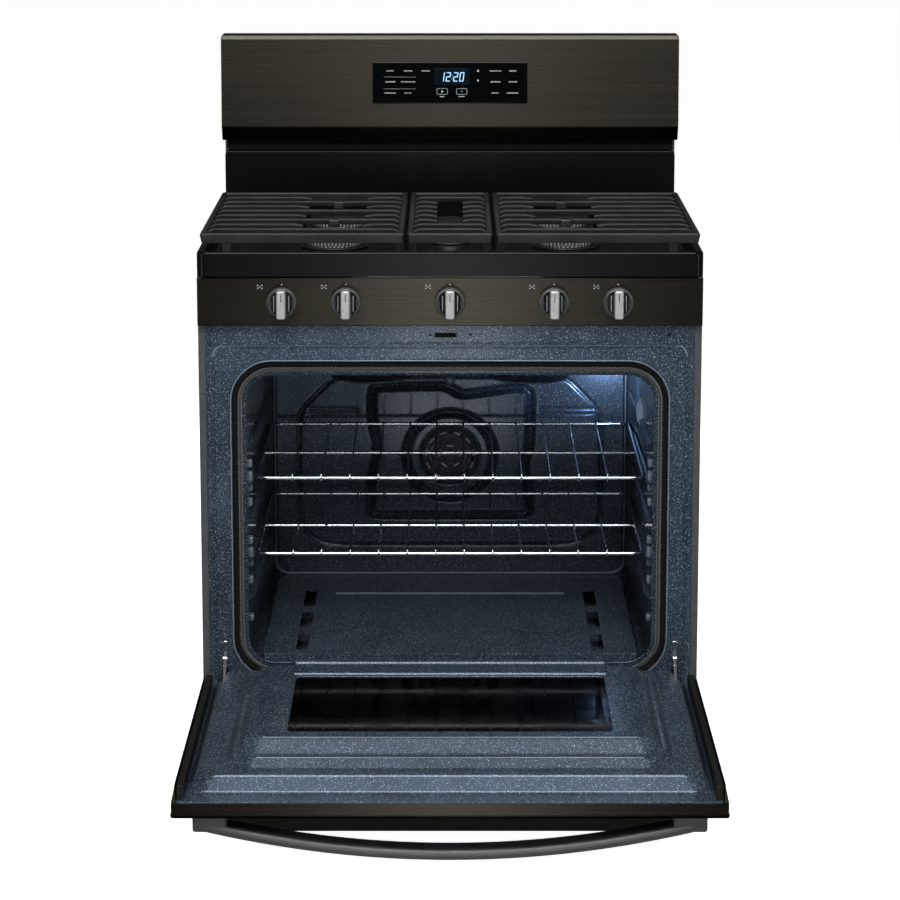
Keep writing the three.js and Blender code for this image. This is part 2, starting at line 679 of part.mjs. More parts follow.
[['lower', RACK_LEVELS[0]], ['upper', RACK_LEVELS[1]]].forEach(([name, level]) => {
  const z = CAVITY_BOTTOM + GUIDE_FIRST + level * GUIDE_PITCH + RACK_LIFT;
  addPart(range, `oven_rack_${name}`, rack(), CHROME).position.set(0, 0, z);
});

// ---------------------------------------------------------------- cooktop and burners

const GRATE_BACK = SPLASH_Y - GRATE_BACK_SPACE;
const BAR_PITCH = (GRATE_BACK - GRATE_FRONT - GRATE_BAR[0]) / (GRATE_BARS - 1);
const barY = (bar) => GRATE_FRONT + GRATE_BAR[0] / 2 + bar * BAR_PITCH;
const BURNERS = [
  { x: -BURNER_COLUMN, y: barY(FRONT_BURNER_BAR) },
  { x: -BURNER_COLUMN, y: barY(REAR_BURNER_BAR) },
  { x: 0, y: (barY(FRONT_BURNER_BAR) + barY(REAR_BURNER_BAR)) / 2, oval: true },
  { x: BURNER_COLUMN, y: barY(REAR_BURNER_BAR) },
  { x: BURNER_COLUMN, y: barY(FRONT_BURNER_BAR) },
];

// One folded sheet: the sunken surface, the slope up to the rim and the rim's outer wall.
function cooktop() {
  const ring = (inset, z) => {
    const bounds = [
      -HALF + inset, HALF - inset, -RIM_OVERHANG + inset, SPLASH_Y - FIT - inset,
    ];
    return lyingRing(bounds, Math.max(RIM_CORNER - inset, 2), z);
  };
  const foot = RIM_EDGE + RIM_TOP_WIDTH + RIM_SLOPE;
  const sheet = skin([
    ring(foot, PAN_Z),
    ring(RIM_EDGE + RIM_TOP_WIDTH, COOKTOP_HEIGHT),
    ring(RIM_EDGE, COOKTOP_HEIGHT),
    ring(RIM_EDGE * 0.3, COOKTOP_HEIGHT - RIM_EDGE * 0.3),
    ring(0, COOKTOP_HEIGHT - RIM_EDGE),
    ring(0, RIM_BOTTOM),
    ring(SHEET, RIM_BOTTOM),
    ring(SHEET, COOKTOP_HEIGHT - RIM_EDGE - SHEET),
    ring(RIM_EDGE + SHEET, COOKTOP_HEIGHT - SHEET),
    ring(RIM_EDGE + RIM_TOP_WIDTH - SHEET, COOKTOP_HEIGHT - SHEET),
    ring(foot - SHEET, PAN_Z - SHEET),
  ]);
  const holes = BURNERS.map(({ x, y }) => (
    rod(HEAD_THROAT_RADIUS + BURNER_CLEARANCE, 20, 16).translate(x, y, PAN_Z - 10)
  ));
  return cut(sheet, ...holes);
}

addPart(range, 'cooktop', cooktop(), BLACK_ENAMEL);

// A stadium: a rectangle with half-round ends, front and back.
function ovalShape(inset) {
  const half = OVAL_WIDTH / 2 - inset;
  const end = OVAL_LENGTH / 2 - inset;
  return shapeOf(rectanglePoints(-half, half, -end, end, half));
}

const THROAT = [[0, -HEAD_THROAT_LENGTH], [HEAD_THROAT_RADIUS, -HEAD_THROAT_LENGTH]];

function burnerHead(oval) {
  if (oval) {
    const throat = turned([...THROAT, [HEAD_THROAT_RADIUS, FIT + 1], [0, FIT + 1]], 16);
    return join(throat, raised(ovalShape(0), FIT, HEAD_HEIGHT - 4),
      raised(ovalShape(4), HEAD_HEIGHT - 5, HEAD_HEIGHT));
  }
  return turned([
    ...THROAT, [HEAD_THROAT_RADIUS, FIT], [HEAD_RADIUS, FIT], [HEAD_RADIUS, 4],
    [HEAD_RADIUS - 5, HEAD_HEIGHT - 3], [HEAD_RADIUS - 5, HEAD_HEIGHT], [0, HEAD_HEIGHT],
  ], 20);
}

function burnerCap(oval) {
  const [low, high] = [HEAD_HEIGHT + FIT, HEAD_HEIGHT + FIT + CAP_HEIGHT];
  if (oval) return raised(ovalShape(HEAD_RADIUS - CAP_RADIUS), low, high);
  return turned([
    [0, low], [CAP_RADIUS, low], [CAP_RADIUS, low + 4], [CAP_RADIUS - 7, high], [0, high],
  ], 20);
}

BURNERS.forEach(({ x, y, oval }, i) => {
  addPart(range, `burner_head_${BURNER_NAMES[i]}`, burnerHead(oval), ALUMINIUM)
    .position.set(x, y, PAN_Z);
  addPart(range, `burner_cap_${BURNER_NAMES[i]}`, burnerCap(oval), CAST_IRON)
    .position.set(x, y, PAN_Z);
});

// ---------------------------------------------------------------- grates

const GRATE_HIGH = COOKTOP_HEIGHT + GRATE_TOP;
const GRATE_LOW = GRATE_HIGH - GRATE_BAR[1];
const GRATE_MIDDLE_HALF = GRATE_MIDDLE_WIDTH / 2;
const OPEN_BARS = [2, 4, 6, 8]; // bars broken over the round burners, counted from the front

// A grate is a rail down each side and bars across. A broken bar leaves its middle open over
// the burners. Feet stand on the cooktop.
function grate(x0, x1, centre, opening, isBroken) {
  const bar = GRATE_BAR[0];
  const pieces = [
    box(x0, x0 + bar, GRATE_FRONT, GRATE_BACK, GRATE_LOW, GRATE_HIGH),
    box(x1 - bar, x1, GRATE_FRONT, GRATE_BACK, GRATE_LOW, GRATE_HIGH),
  ];
  for (let i = 0; i < GRATE_BARS; i += 1) {
    const y = [barY(i) - bar / 2, barY(i) + bar / 2];
    const half = opening / 2;
    const runs = isBroken(i) ? [[x0, centre - half], [centre + half, x1]] : [[x0, x1]];
    runs.forEach(([a, b]) => {
      pieces.push(box(a + bar / 2, b, ...y, GRATE_LOW, GRATE_HIGH));
    });
  }
  const footX = [x0, x1].map((x) => {
    const limit = HALF - RIM_EDGE - RIM_TOP_WIDTH - RIM_SLOPE - GRATE_FOOT / 2 - 2;
    return Math.min(Math.max(x, -limit), limit);
  });
  const inward = [footX[0] + GRATE_FOOT / 2, footX[1] - GRATE_FOOT / 2];
  inward.forEach((x) => {
    [barY(1), barY(GRATE_BARS - 2)].forEach((y) => {
      const half = bar / 2 - 0.5;
      const wide = GRATE_FOOT / 2;
      pieces.push(box(x - wide, x + wide, y - half, y + half, PAN_Z + FIT, GRATE_LOW + 2));
    });
  });
  return join(...pieces);
}

const SIDE_GRATE = [GRATE_MIDDLE_HALF + GRATE_GAP, HALF - GRATE_EDGE];
const overRoundBurner = (i) => OPEN_BARS.includes(i);
const overOvalBurner = (i) => i >= FRONT_BURNER_BAR && i <= REAR_BURNER_BAR;

addPart(
  range,
  'grate_left',
  grate(-SIDE_GRATE[1], -SIDE_GRATE[0], -BURNER_COLUMN, GRATE_BREAK, overRoundBurner),
  CAST_IRON,
);
addPart(
  range,
  'grate_center',
  grate(-GRATE_MIDDLE_HALF, GRATE_MIDDLE_HALF, 0, GRATE_MIDDLE_BREAK, overOvalBurner),
  CAST_IRON,
);
addPart(
  range,
  'grate_right',
  grate(SIDE_GRATE[0], SIDE_GRATE[1], BURNER_COLUMN, GRATE_BREAK, overRoundBurner),
  CAST_IRON,
);

// ---------------------------------------------------------------- controls

// The panel is a shallow tray with a hole for each valve stem.
function controlPanel() {
  const outline = [-HALF, HALF, PANEL_BOTTOM, PANEL_TOP];
  const inner = [-HALF + SHEET, HALF - SHEET, PANEL_BOTTOM + SHEET, PANEL_TOP - SHEET];
  const tray = skin([
    standingRing(outline, SHEET, 0),
    standingRing(outline, SHEET, FRAME_Y - FIT),
    standingRing(inner, SHEET / 2, FRAME_Y - FIT),
    standingRing(inner, SHEET / 2, SHEET),
  ]);
  const holes = KNOB_COLUMNS.map((x) => (
    backward(rod(STEM_RADIUS + STEM_CLEARANCE, 10, 12)).translate(x, -5, KNOB_Z)
  ));
  return cut(tray, ...holes);
}

addPart(range, 'control_panel', controlPanel(), BLACK_STEEL);

// The manifold pipe carries one valve for each knob and is fed from the back on the left.
function gasManifold() {
  const [valveWidth, valveDepth, valveHeight] = VALVE_SIZE;
  const y = VALVE_Y + valveDepth + MANIFOLD_RADIUS / 2;
  const ends = [Math.min(...KNOB_COLUMNS) - MANIFOLD_END, Math.max(...KNOB_COLUMNS) + MANIFOLD_END];
  const pipe = rightward(rod(MANIFOLD_RADIUS, ends[1] - ends[0], 10)).translate(ends[0], y, KNOB_Z);
  const feed = backward(rod(MANIFOLD_RADIUS * 0.8, SPLASH_Y - y, 10))
    .translate(ends[0] + MANIFOLD_RADIUS, y, KNOB_Z);
  const valves = KNOB_COLUMNS.map((x) => box(
    x - valveWidth / 2,
    x + valveWidth / 2,
    VALVE_Y,
    VALVE_Y + valveDepth,
    KNOB_Z - valveHeight / 2,
    KNOB_Z + valveHeight / 2,
  ));
  return join(pipe, feed, ...valves);
}

addPart(range, 'gas_manifold', gasManifold(), BRASS);

// Drawn round the knob's axis, with the panel face at y = 0.
function valveStem() {
  const length = STEM_REACH + VALVE_Y - PUSH - 1;
  return backward(rod(STEM_RADIUS, length, 12)).translate(0, -STEM_REACH, 0);
}

function knob() {
  const [gripWidth, gripHeight, gripReach] = KNOB_GRIP;
  const base = forward(turned([
    [0, 0], [KNOB_RADIUS, 0], [KNOB_RADIUS, KNOB_DEPTH - 2], [KNOB_RADIUS - 2, KNOB_DEPTH],
    [0, KNOB_DEPTH],
  ], 24));
  const [w, h] = [gripWidth / 2, gripHeight / 2];
  const grip = skin([
    standingRing([-w, w, -h, h], 2, -KNOB_DEPTH + 1),
    standingRing([-w, w, -h, h], 2, -KNOB_DEPTH - gripReach + 2),
    standingRing([-w + 1.5, w - 1.5, -h + 1.5, h - 1.5], 2, -KNOB_DEPTH - gripReach),
  ]);
  const depth = STEM_REACH - KNOB_STANDOFF + 1;
  const bore = forward(rod(STEM_RADIUS + STEM_CLEARANCE, depth + 1, 12)).translate(0, 1, 0);
  return cut(join(base, grip), bore).translate(0, -KNOB_STANDOFF, 0);
}

KNOB_COLUMNS.forEach((x, i) => {
  addPart(range, `valve_stem_${BURNER_NAMES[i]}`, valveStem(), BRASS).position.set(x, 0, KNOB_Z);
  addPart(range, `knob_${BURNER_NAMES[i]}`, knob(), KNOB_STEEL).position.set(x, 0, KNOB_Z);
});

// ---------------------------------------------------------------- backguard

// An upright box of sheet, open at the back, made by running a side view across the range.
function upright(outer, inner, half) {
  return cut(
    runAcross(shapeOf(outer), -half, half),
    runAcross(shapeOf(inner), -half + SHEET, half - SHEET),
  );
}

const BEYOND = INNER_BACK + 10; // past the open back

function backsplash() {
  const [front, top, bottom] = [SPLASH_Y, SPLASH_TOP, RIM_BOTTOM];
  return upright(
    [[front, bottom], [INNER_BACK, bottom], [INNER_BACK, top], [front, top]],
    [[front + SHEET, bottom - 10], [BEYOND, bottom - 10], [BEYOND, top - SHEET],
      [front + SHEET, top - SHEET]],
    HALF - SPLASH_INSET,
  );
}

addPart(range, 'backsplash', backsplash(), BLACK_ENAMEL);

const [BEVEL_DEPTH, BEVEL_HEIGHT] = FASCIA_BEVEL;
const FASCIA_BOTTOM = SPLASH_TOP + VENT_GAP;
const FACE_FOOT = [SPLASH_Y - FASCIA_FOOT, FASCIA_BOTTOM + BEVEL_HEIGHT];
const FACE_TOP = [SPLASH_Y - FASCIA_FOOT + FASCIA_LEAN, GUARD_TOP - FASCIA_EDGE];

function fascia() {
  const bevelY = FACE_FOOT[0] + BEVEL_DEPTH;
  return upright(
    [[bevelY, FASCIA_BOTTOM], [INNER_BACK, FASCIA_BOTTOM], [INNER_BACK, GUARD_TOP],
      [FACE_TOP[0] + 6, GUARD_TOP], FACE_TOP, FACE_FOOT],
    [[bevelY + SHEET, FASCIA_BOTTOM + SHEET], [BEYOND, FASCIA_BOTTOM + SHEET],
      [BEYOND, GUARD_TOP - SHEET], [FACE_TOP[0] + 6 + SHEET, GUARD_TOP - SHEET],
      [FACE_TOP[0] + SHEET, FACE_TOP[1] - SHEET], [FACE_FOOT[0] + SHEET, FACE_FOOT[1]]],
    HALF,
  );
}

addPart(range, 'backguard_fascia', fascia(), BLACK_STEEL);

// The display lies on the leaning face.
const lean = Math.atan2(FACE_TOP[0] - FACE_FOOT[0], FACE_TOP[1] - FACE_FOOT[1]);
const [displayWidth, displayHeight, displayDepth] = DISPLAY;
const displayShape = shapeOf(rectanglePoints(
  -displayWidth / 2,
  displayWidth / 2,
  DISPLAY_RISE,
  DISPLAY_RISE + displayHeight,
  2,
));
const display = addPart(
  range,
  'display_glass',
  runBack(displayShape, -displayDepth - FIT, -FIT),
  BLACK_GLASS,
);
display.position.set(0, ...FACE_FOOT);
display.rotation.x = -lean;

// ---------------------------------------------------------------- door

// The door is drawn closed, with its hinge axis at the origin, and then laid open.
const door = new THREE.Group();
door.position.set(0, -HINGE_SETBACK, HINGE_HEIGHT);
door.rotation.x = Math.PI / 2;
range.add(door);

const upY = HINGE_SETBACK; // from the range's depths to the door's own
const closed = (geometry) => geometry.translate(0, upY, -HINGE_HEIGHT);
const SEAL_FOOT = HINGE_HEIGHT + 3; // below it the door is no thicker than its rim

function windowBounds() {
  return [
    -OUTER_GLASS_HALF, OUTER_GLASS_HALF,
    DOOR_BOTTOM + OUTER_GLASS_BOTTOM, DOOR_TOP - OUTER_GLASS_TOP,
  ];
}

// The outer skin is a tray. Its sides reach back to the seal face and its ends to the rim.
function doorSkin() {
  const inside = HALF - SHEET;
  const back = DOOR_SEAL_Y;
  const rim = DOOR_RIM_Y - SHEET - FIT;
  const [x0, x1, z0, z1] = windowBounds();
  const tray = box(-HALF, HALF, DOOR_FRONT, back, DOOR_BOTTOM, DOOR_TOP);
  return closed(cut(
    tray,
    box(-inside, inside, DOOR_FRONT + SHEET, back + 1, DOOR_BOTTOM + SHEET, DOOR_TOP - SHEET),
    box(-inside, inside, rim, back + 1, DOOR_BOTTOM - 1, DOOR_TOP + 1),
    box(-HALF - 1, HALF + 1, rim, back + 1, DOOR_BOTTOM - 1, SEAL_FOOT),
    runBack(shapeOf(rectanglePoints(x0, x1, z0, z1, 10)), DOOR_FRONT - 1, DOOR_FRONT + 5),
  ));
}

addPart(door, 'door_skin', doorSkin(), BLACK_STEEL);

function outerGlass() {
  const [x0, x1, z0, z1] = windowBounds();
  const shape = shapeOf(rectanglePoints(x0 + FIT, x1 - FIT, z0 + FIT, z1 - FIT, 10 - FIT));
  return closed(runBack(shape, DOOR_FRONT + FIT, DOOR_FRONT + FIT + OUTER_GLASS));
}

addPart(door, 'door_outer_glass', outerGlass(), BLACK_GLASS);

// Outlines of the liner's folds, from its edge to the window: half-width, top, bottom, corner
// radius and depth. The seal face lies on the gasket, and the plateau fits the oven's mouth.
const linerHalf = HALF - LINER_SIDE_GAP;
const [STEP_RISE, PLATEAU_RISE] = LINER_STEPS;
const plateauY = DOOR_SEAL_Y + PLATEAU_RISE;
const stepY = DOOR_SEAL_Y + STEP_RISE;
const FOLDS = [
  [linerHalf, DOOR_TOP, DOOR_BOTTOM, 3, DOOR_RIM_Y],
  [linerHalf - 16, DOOR_TOP - 35, HINGE_HEIGHT - 8, 26, DOOR_RIM_Y],
  [linerHalf - 29, DOOR_TOP - 48, SEAL_FOOT, 24, DOOR_SEAL_Y],
  [GASKET_HALF - 9, GASKET_TOP - 9, GASKET_BOTTOM + 19, 40, DOOR_SEAL_Y],
  [CAVITY_HALF - 7, CAVITY_TOP - 15, GASKET_BOTTOM + 30, 34, stepY],
  [CAVITY_HALF - 12, CAVITY_TOP - 28, GASKET_BOTTOM + 37, 30, stepY],
  [CAVITY_HALF - 24, CAVITY_TOP - 54, GASKET_BOTTOM + 53, 24, plateauY],
];
const [plateauHalf, plateauTop, plateauBottom] = FOLDS[FOLDS.length - 1];
const WINDOW = [
  plateauHalf - WINDOW_FRAME, plateauTop - WINDOW_FRAME_TOP, plateauBottom + WINDOW_FRAME_BOTTOM,
  10, plateauY,
];

function doorLiner() {
  const folds = [...FOLDS, WINDOW];
  const ring = (back) => ([half, top, bottom, r, y]) => (
    standingRing([-half, half, bottom, top], r, y - back)
  );
  const sheet = skin([...folds.map(ring(0)), ...folds.map(ring(SHEET)).reverse()], true);
  const slots = SIDES.map(([, side]) => {
    const x = side * HINGE_COLUMN;
    const half = HINGE_SLOT / 2;
    return box(x - half, x + half, DOOR_FRONT, plateauY, DOOR_BOTTOM - 1, HINGE_HOOK[1]);
  });
  return closed(cut(sheet, ...slots));
}

addPart(door, 'door_liner', doorLiner(), BLUE_ENAMEL);

function innerGlass() {
  const [half, top, bottom] = WINDOW;
  const lap = INNER_GLASS_LAP;
  const shape = shapeOf(rectanglePoints(-half - lap, half + lap, bottom - lap, top + lap, 12));
  const back = plateauY - SHEET - FIT;
  return closed(runBack(shape, back - INNER_GLASS, back));
}

addPart(door, 'door_inner_glass', innerGlass(), DARK_GLASS);

// The handle bows out between two posts. Its plan is drawn and raised to the bar's height.
function doorHandle() {
  const end = HALF - HANDLE_SIDE_SPACE;
  const bow = (x) => HANDLE_END_REACH + (HANDLE_REACH - HANDLE_END_REACH) * (1 - (x / end) ** 2);
  const steps = 16;
  const outer = [];
  const inner = [];
  for (let i = 0; i <= steps; i += 1) {
    const x = end * (2 * i / steps - 1);
    outer.push([x, DOOR_FRONT - bow(x)]);
    const u = (end - HANDLE_POST) * (1 - 2 * i / steps);
    inner.push([u, DOOR_FRONT - bow(u) + HANDLE_THICKNESS]);
  }
  const seat = DOOR_FRONT - FIT;
  const plan = [
    ...outer, [end, seat], [end - HANDLE_POST, seat], ...inner, [HANDLE_POST - end, seat],
    [-end, seat],
  ];
  const z = DOOR_TOP - HANDLE_DROP;
  return closed(raised(shapeOf(plan), z - HANDLE_HEIGHT / 2, z + HANDLE_HEIGHT / 2));
}

addPart(door, 'door_handle', doorHandle(), HANDLE_STEEL);

// A hinge arm stands still: it hooks into the oven frame, and the door turns about its foot.
function hingeArm(side) {
  const [y, z] = [-HINGE_SETBACK, HINGE_HEIGHT];
  const [low, high] = HINGE_HOOK;
  const plan = [
    [y - 7, z - 5], [y, z - 8], [y + 7, z - 5], [FRAME_Y - 2, low + 6], [FRAME_Y + 14, low + 2],
    [FRAME_Y + 14, high - 3], [FRAME_Y + 3, high - 3], [FRAME_Y + 3, high - 14],
    [FRAME_Y - 4, high - 14], [y - 7, z + 6],
  ];
  const x = side * HINGE_COLUMN;
  return runAcross(shapeOf(plan), x - HINGE_PLATE / 2, x + HINGE_PLATE / 2);
}

SIDES.forEach(([name, side]) => {
  addPart(range, `hinge_arm_${name}`, hingeArm(side), CHROME);
});

// ---------------------------------------------------------------- drawer

function drawerFront() {
  const bounds = (inset) => [
    -HALF + inset, HALF - inset, DRAWER_BOTTOM + inset, DRAWER_TOP - inset,
  ];
  return skin([
    standingRing(bounds(0), 4, DOOR_FRONT),
    standingRing(bounds(0), 4, DOOR_SEAL_Y),
    standingRing(bounds(SHEET), 2.5, DOOR_SEAL_Y),
    standingRing(bounds(SHEET), 2.5, DOOR_FRONT + SHEET),
  ]);
}

addPart(range, 'drawer_front', drawerFront(), BLACK_PAINT);

function drawerBox() {
  const half = HALF - DRAWER_SIDE_SPACE;
  const [front, back] = [DOOR_SEAL_Y + FIT, BODY_DEPTH - DRAWER_BACK_SPACE];
  const low = FOOT_HEIGHT + SHEET + DRAWER_RISE;
  const high = DRAWER_TOP - DRAWER_TOP_SPACE;
  return cut(
    box(-half, half, front, back, low, high),
    box(-half + SHEET, half - SHEET, front + SHEET, back - SHEET, low + SHEET, high + 1),
  );
}

addPart(range, 'drawer_box', drawerBox(), GALVANISED);

// The origin is on the floor, in the middle of the range with its door open.
const doorReach = DOOR_TOP - HINGE_HEIGHT + HINGE_SETBACK;
range.position.y = (doorReach - BODY_DEPTH) / 2;

export default range;
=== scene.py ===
"""The looks of a freestanding gas range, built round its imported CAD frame.

Shapes are worked out in millimetres in the frame's own coordinates (+X to the cook's right, +Y to the
back, +Z up) and become metres as each mesh is made. The door's pieces are drawn closed and laid open
by one function. Every size that the frame knows is read from the frame.
"""

import json
import math

import bpy
import numpy as np
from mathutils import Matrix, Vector

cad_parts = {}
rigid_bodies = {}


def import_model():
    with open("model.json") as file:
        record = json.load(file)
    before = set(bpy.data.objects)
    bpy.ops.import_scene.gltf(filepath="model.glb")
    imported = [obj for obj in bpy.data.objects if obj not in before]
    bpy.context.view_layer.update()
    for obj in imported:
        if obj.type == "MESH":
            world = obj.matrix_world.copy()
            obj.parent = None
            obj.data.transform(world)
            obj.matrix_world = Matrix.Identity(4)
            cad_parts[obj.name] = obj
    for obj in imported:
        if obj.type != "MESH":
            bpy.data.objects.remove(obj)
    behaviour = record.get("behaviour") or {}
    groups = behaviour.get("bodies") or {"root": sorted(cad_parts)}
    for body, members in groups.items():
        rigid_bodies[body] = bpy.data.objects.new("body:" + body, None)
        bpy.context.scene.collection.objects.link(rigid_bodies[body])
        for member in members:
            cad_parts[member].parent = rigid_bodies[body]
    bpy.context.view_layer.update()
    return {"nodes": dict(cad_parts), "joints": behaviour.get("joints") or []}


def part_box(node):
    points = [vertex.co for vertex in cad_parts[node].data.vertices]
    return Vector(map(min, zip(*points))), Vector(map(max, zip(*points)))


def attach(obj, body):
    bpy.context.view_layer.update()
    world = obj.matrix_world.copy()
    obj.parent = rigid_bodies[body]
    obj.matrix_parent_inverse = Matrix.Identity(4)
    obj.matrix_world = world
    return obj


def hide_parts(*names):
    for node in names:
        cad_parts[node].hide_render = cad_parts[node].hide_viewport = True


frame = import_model()

MM = 0.001


def box(node):
    """Lowest and highest corner of a CAD node, in millimetres."""
    lo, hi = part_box(node)
    return np.array(lo) / MM, np.array(hi) / MM


# ---------------------------------------------------------------- places read from the frame

PANEL_LO, PANEL_HI = box("control_panel")
HALF = PANEL_HI[0]
FACE = PANEL_LO[1]                      # front plane of the control panel
KNOB_Z = (PANEL_LO[2] + PANEL_HI[2]) / 2
MOUTH_LO, MOUTH_HI = box("oven_front_frame")
FRAME_Y = MOUTH_LO[1]
GASKET_LO, GASKET_HI = box("door_gasket")
GASKET_R = (GASKET_HI[1] - GASKET_LO[1]) / 2
GASKET_HALF = GASKET_HI[0] - GASKET_R
GASKET_TOP = GASKET_HI[2] - GASKET_R
GASKET_BOTTOM = GASKET_LO[2] + GASKET_R
CAVITY_LO, CAVITY_HI = box("oven_wall_right")
CAVITY_HALF = CAVITY_HI[0] - 1.5
CAVITY_TOP = box("oven_ceiling")[0][2]
CAVITY_BOTTOM = CAVITY_LO[2] + 1.5
CAVITY_FRONT, CAVITY_BACK = CAVITY_LO[1], CAVITY_HI[1]
FLOOR_Z = box("oven_floor_panel")[1][2]
TOP_LO, TOP_HI = box("cooktop")
PAN_Z = TOP_HI[2] - 17                  # sunken surface of the cooktop
DOOR_LO, DOOR_HI = box("door_skin")     # laid open
HINGE = next(j for j in frame["joints"] if j["name"] == "door_hinge")["pos_m"]
HINGE_Y, HINGE_Z = HINGE[1] / MM, HINGE[2] / MM
DOOR_TOP = HINGE_Z + HINGE_Y - DOOR_LO[1]
DOOR_BOTTOM = HINGE_Z + HINGE_Y - DOOR_HI[1]
DOOR_FRONT = HINGE_Y + DOOR_LO[2] - HINGE_Z
SEAL_Y = HINGE_Y + DOOR_HI[2] - HINGE_Z
RIM_Y = DOOR_FRONT + 24.5               # back of the door's thin rim
PLATEAU_Y = HINGE_Y + box("door_liner")[1][2] - HINGE_Z
ARM_X = 345                             # middle of each hinge arm
BURNERS = ("front_left", "rear_left", "center", "rear_right", "front_right")

# ---------------------------------------------------------------- shapes


def rounded(corners, radius, steps, closed=True):
    """Each corner of a polyline becomes a parabola, (1-t)^2 a + 2t(1-t) c + t^2 b, where a and b lie
    the radius away from corner c along its two edges, or half an edge where that is shorter."""
    c = np.asarray(corners, float)
    radii = np.broadcast_to(radius, len(c))[:, None]
    before, after = np.roll(c, 1, 0) - c, np.roll(c, -1, 0) - c
    lengths = [np.maximum(np.linalg.norm(e, axis=1, keepdims=True), 1e-9) for e in (before, after)]
    a = c + before / lengths[0] * np.minimum(radii, lengths[0] * 0.49)
    b = c + after / lengths[1] * np.minimum(radii, lengths[1] * 0.49)
    t = np.linspace(0, 1, steps + 1)[None, :, None]
    curve = (1 - t) ** 2 * a[:, None] + 2 * t * (1 - t) * c[:, None] + t ** 2 * b[:, None]
    if closed:
        return curve.reshape(-1, c.shape[1])
    return np.concatenate([c[:1], curve[1:-1].reshape(-1, c.shape[1]), c[-1:]])


def rectangle(u0, u1, v0, v1, r, steps=6, extra=1):
    """Points round a rectangle: each corner is an arc, its centre plus r times (cos, sin), and each
    straight side is divided evenly into extra parts."""
    centres = np.array([[u1 - r, v1 - r], [u0 + r, v1 - r], [u0 + r, v0 + r], [u1 - r, v0 + r]])
    angle = (np.arange(4)[:, None] + np.linspace(0, 1, steps + 1)) * math.pi / 2
    arcs = centres[:, None] + r * np.stack([np.cos(angle), np.sin(angle)], -1)
    share = (np.arange(1, extra) / extra)[:, None]
    sides = [arc[-1] * (1 - share) + nxt[0] * share for arc, nxt in zip(arcs, np.roll(arcs, -1, 0))]
    return np.concatenate([np.concatenate(pair) for pair in zip(arcs, sides)])


def standing(outline, y):
    """A ring in the front view, as (x, z), set at depth y, which may vary round the ring."""
    return np.stack([outline[:, 0], np.broadcast_to(y, len(outline)), outline[:, 1]], -1)


def lying(outline, z):
    """A ring in plan, as (x, y), set at height z."""
    return np.stack([outline[:, 0], outline[:, 1], np.broadcast_to(z, len(outline))], -1)


def across(outline, x):
    """A ring in the side view, as (y, z), set at x."""
    return np.stack([np.broadcast_to(x, len(outline)), outline[:, 0], outline[:, 1]], -1)


def smooth_step(value, low, high):
    """0 below low and 1 above high, with 3t^2 - 2t^3 between."""
    t = np.clip((value - low) / (high - low), 0, 1)
    return t * t * (3 - 2 * t)


def volume(points, faces):
    """Six times the signed volume: the sum over each face's fan of a dot (b cross c)."""
    total = 0.0
    by_size = {}
    for face in faces:
        by_size.setdefault(len(face), []).append(face)
    for size, group in by_size.items():
        p = points[np.array(group)]
        for i in range(1, size - 1):
            total += np.einsum("ij,ij->i", p[:, 0], np.cross(p[:, i], p[:, i + 1])).sum()
    return total


def outward(points, faces):
    """The same solid with its faces turned round if they point in."""
    if volume(points, faces) < 0:
        faces = [face[::-1] for face in faces]
    return points, faces


def skin(rings, joined=False):
    """A closed skin through rings of equal count, capped at its ends or joined end to end."""
    rings = np.asarray(rings, float)
    n, m = rings.shape[:2]
    i = np.arange(n if joined else n - 1)[:, None]
    j = np.arange(m)[None, :]
    a, b = i * m + j, i * m + (j + 1) % m
    c, d = ((i + 1) % n) * m + (j + 1) % m, ((i + 1) % n) * m + j
    faces = np.stack([a, b, c, d], -1).reshape(-1, 4).tolist()
    if not joined:
        faces += [list(range(m))[::-1], list(range((n - 1) * m, n * m))]
    return outward(rings.reshape(-1, 3), faces)


def merged(*solids):
    """Several solids as one mesh."""
    points, faces, start = [], [], 0
    for p, f in solids:
        points.append(p)
        faces += [[v + start for v in face] for face in f]
        start += len(p)
    return np.concatenate(points), faces


def carved(solid, *cutters):
    """The solid less the cutters, by a Boolean modifier on two meshes that are then thrown away."""
    scene, objects = bpy.context.scene.collection.objects, []
    for points, faces in (solid, merged(*cutters)):
        mesh = bpy.data.meshes.new("carving")
        mesh.from_pydata(points, [], faces)
        objects.append(bpy.data.objects.new("carving", mesh))
        scene.link(objects[-1])
    cut = objects[0].modifiers.new("cut", "BOOLEAN")
    cut.operation, cut.solver, cut.object = "DIFFERENCE", "EXACT", objects[1]
    result = objects[0].evaluated_get(bpy.context.evaluated_depsgraph_get()).to_mesh()
    points = np.empty(3 * len(result.vertices))
    result.vertices.foreach_get("co", points)
    faces = [list(face.vertices) for face in result.polygons]
    for obj in objects:
        bpy.data.meshes.remove(obj.data)
    return points.reshape(-1, 3), faces


def moved(solid, offset):
    """The solid with the offset added to every point."""
    return solid[0] + np.asarray(offset, float), solid[1]


def opened(solid):
    """Lays a piece of the closed door open: a quarter turn about the hinge, (y, z) to (-z, y)."""
    p = solid[0]
    y, z = p[:, 1] - HINGE_Y, p[:, 2] - HINGE_Z
    return np.stack([p[:, 0], HINGE_Y - z, HINGE_Z + y], -1), solid[1]


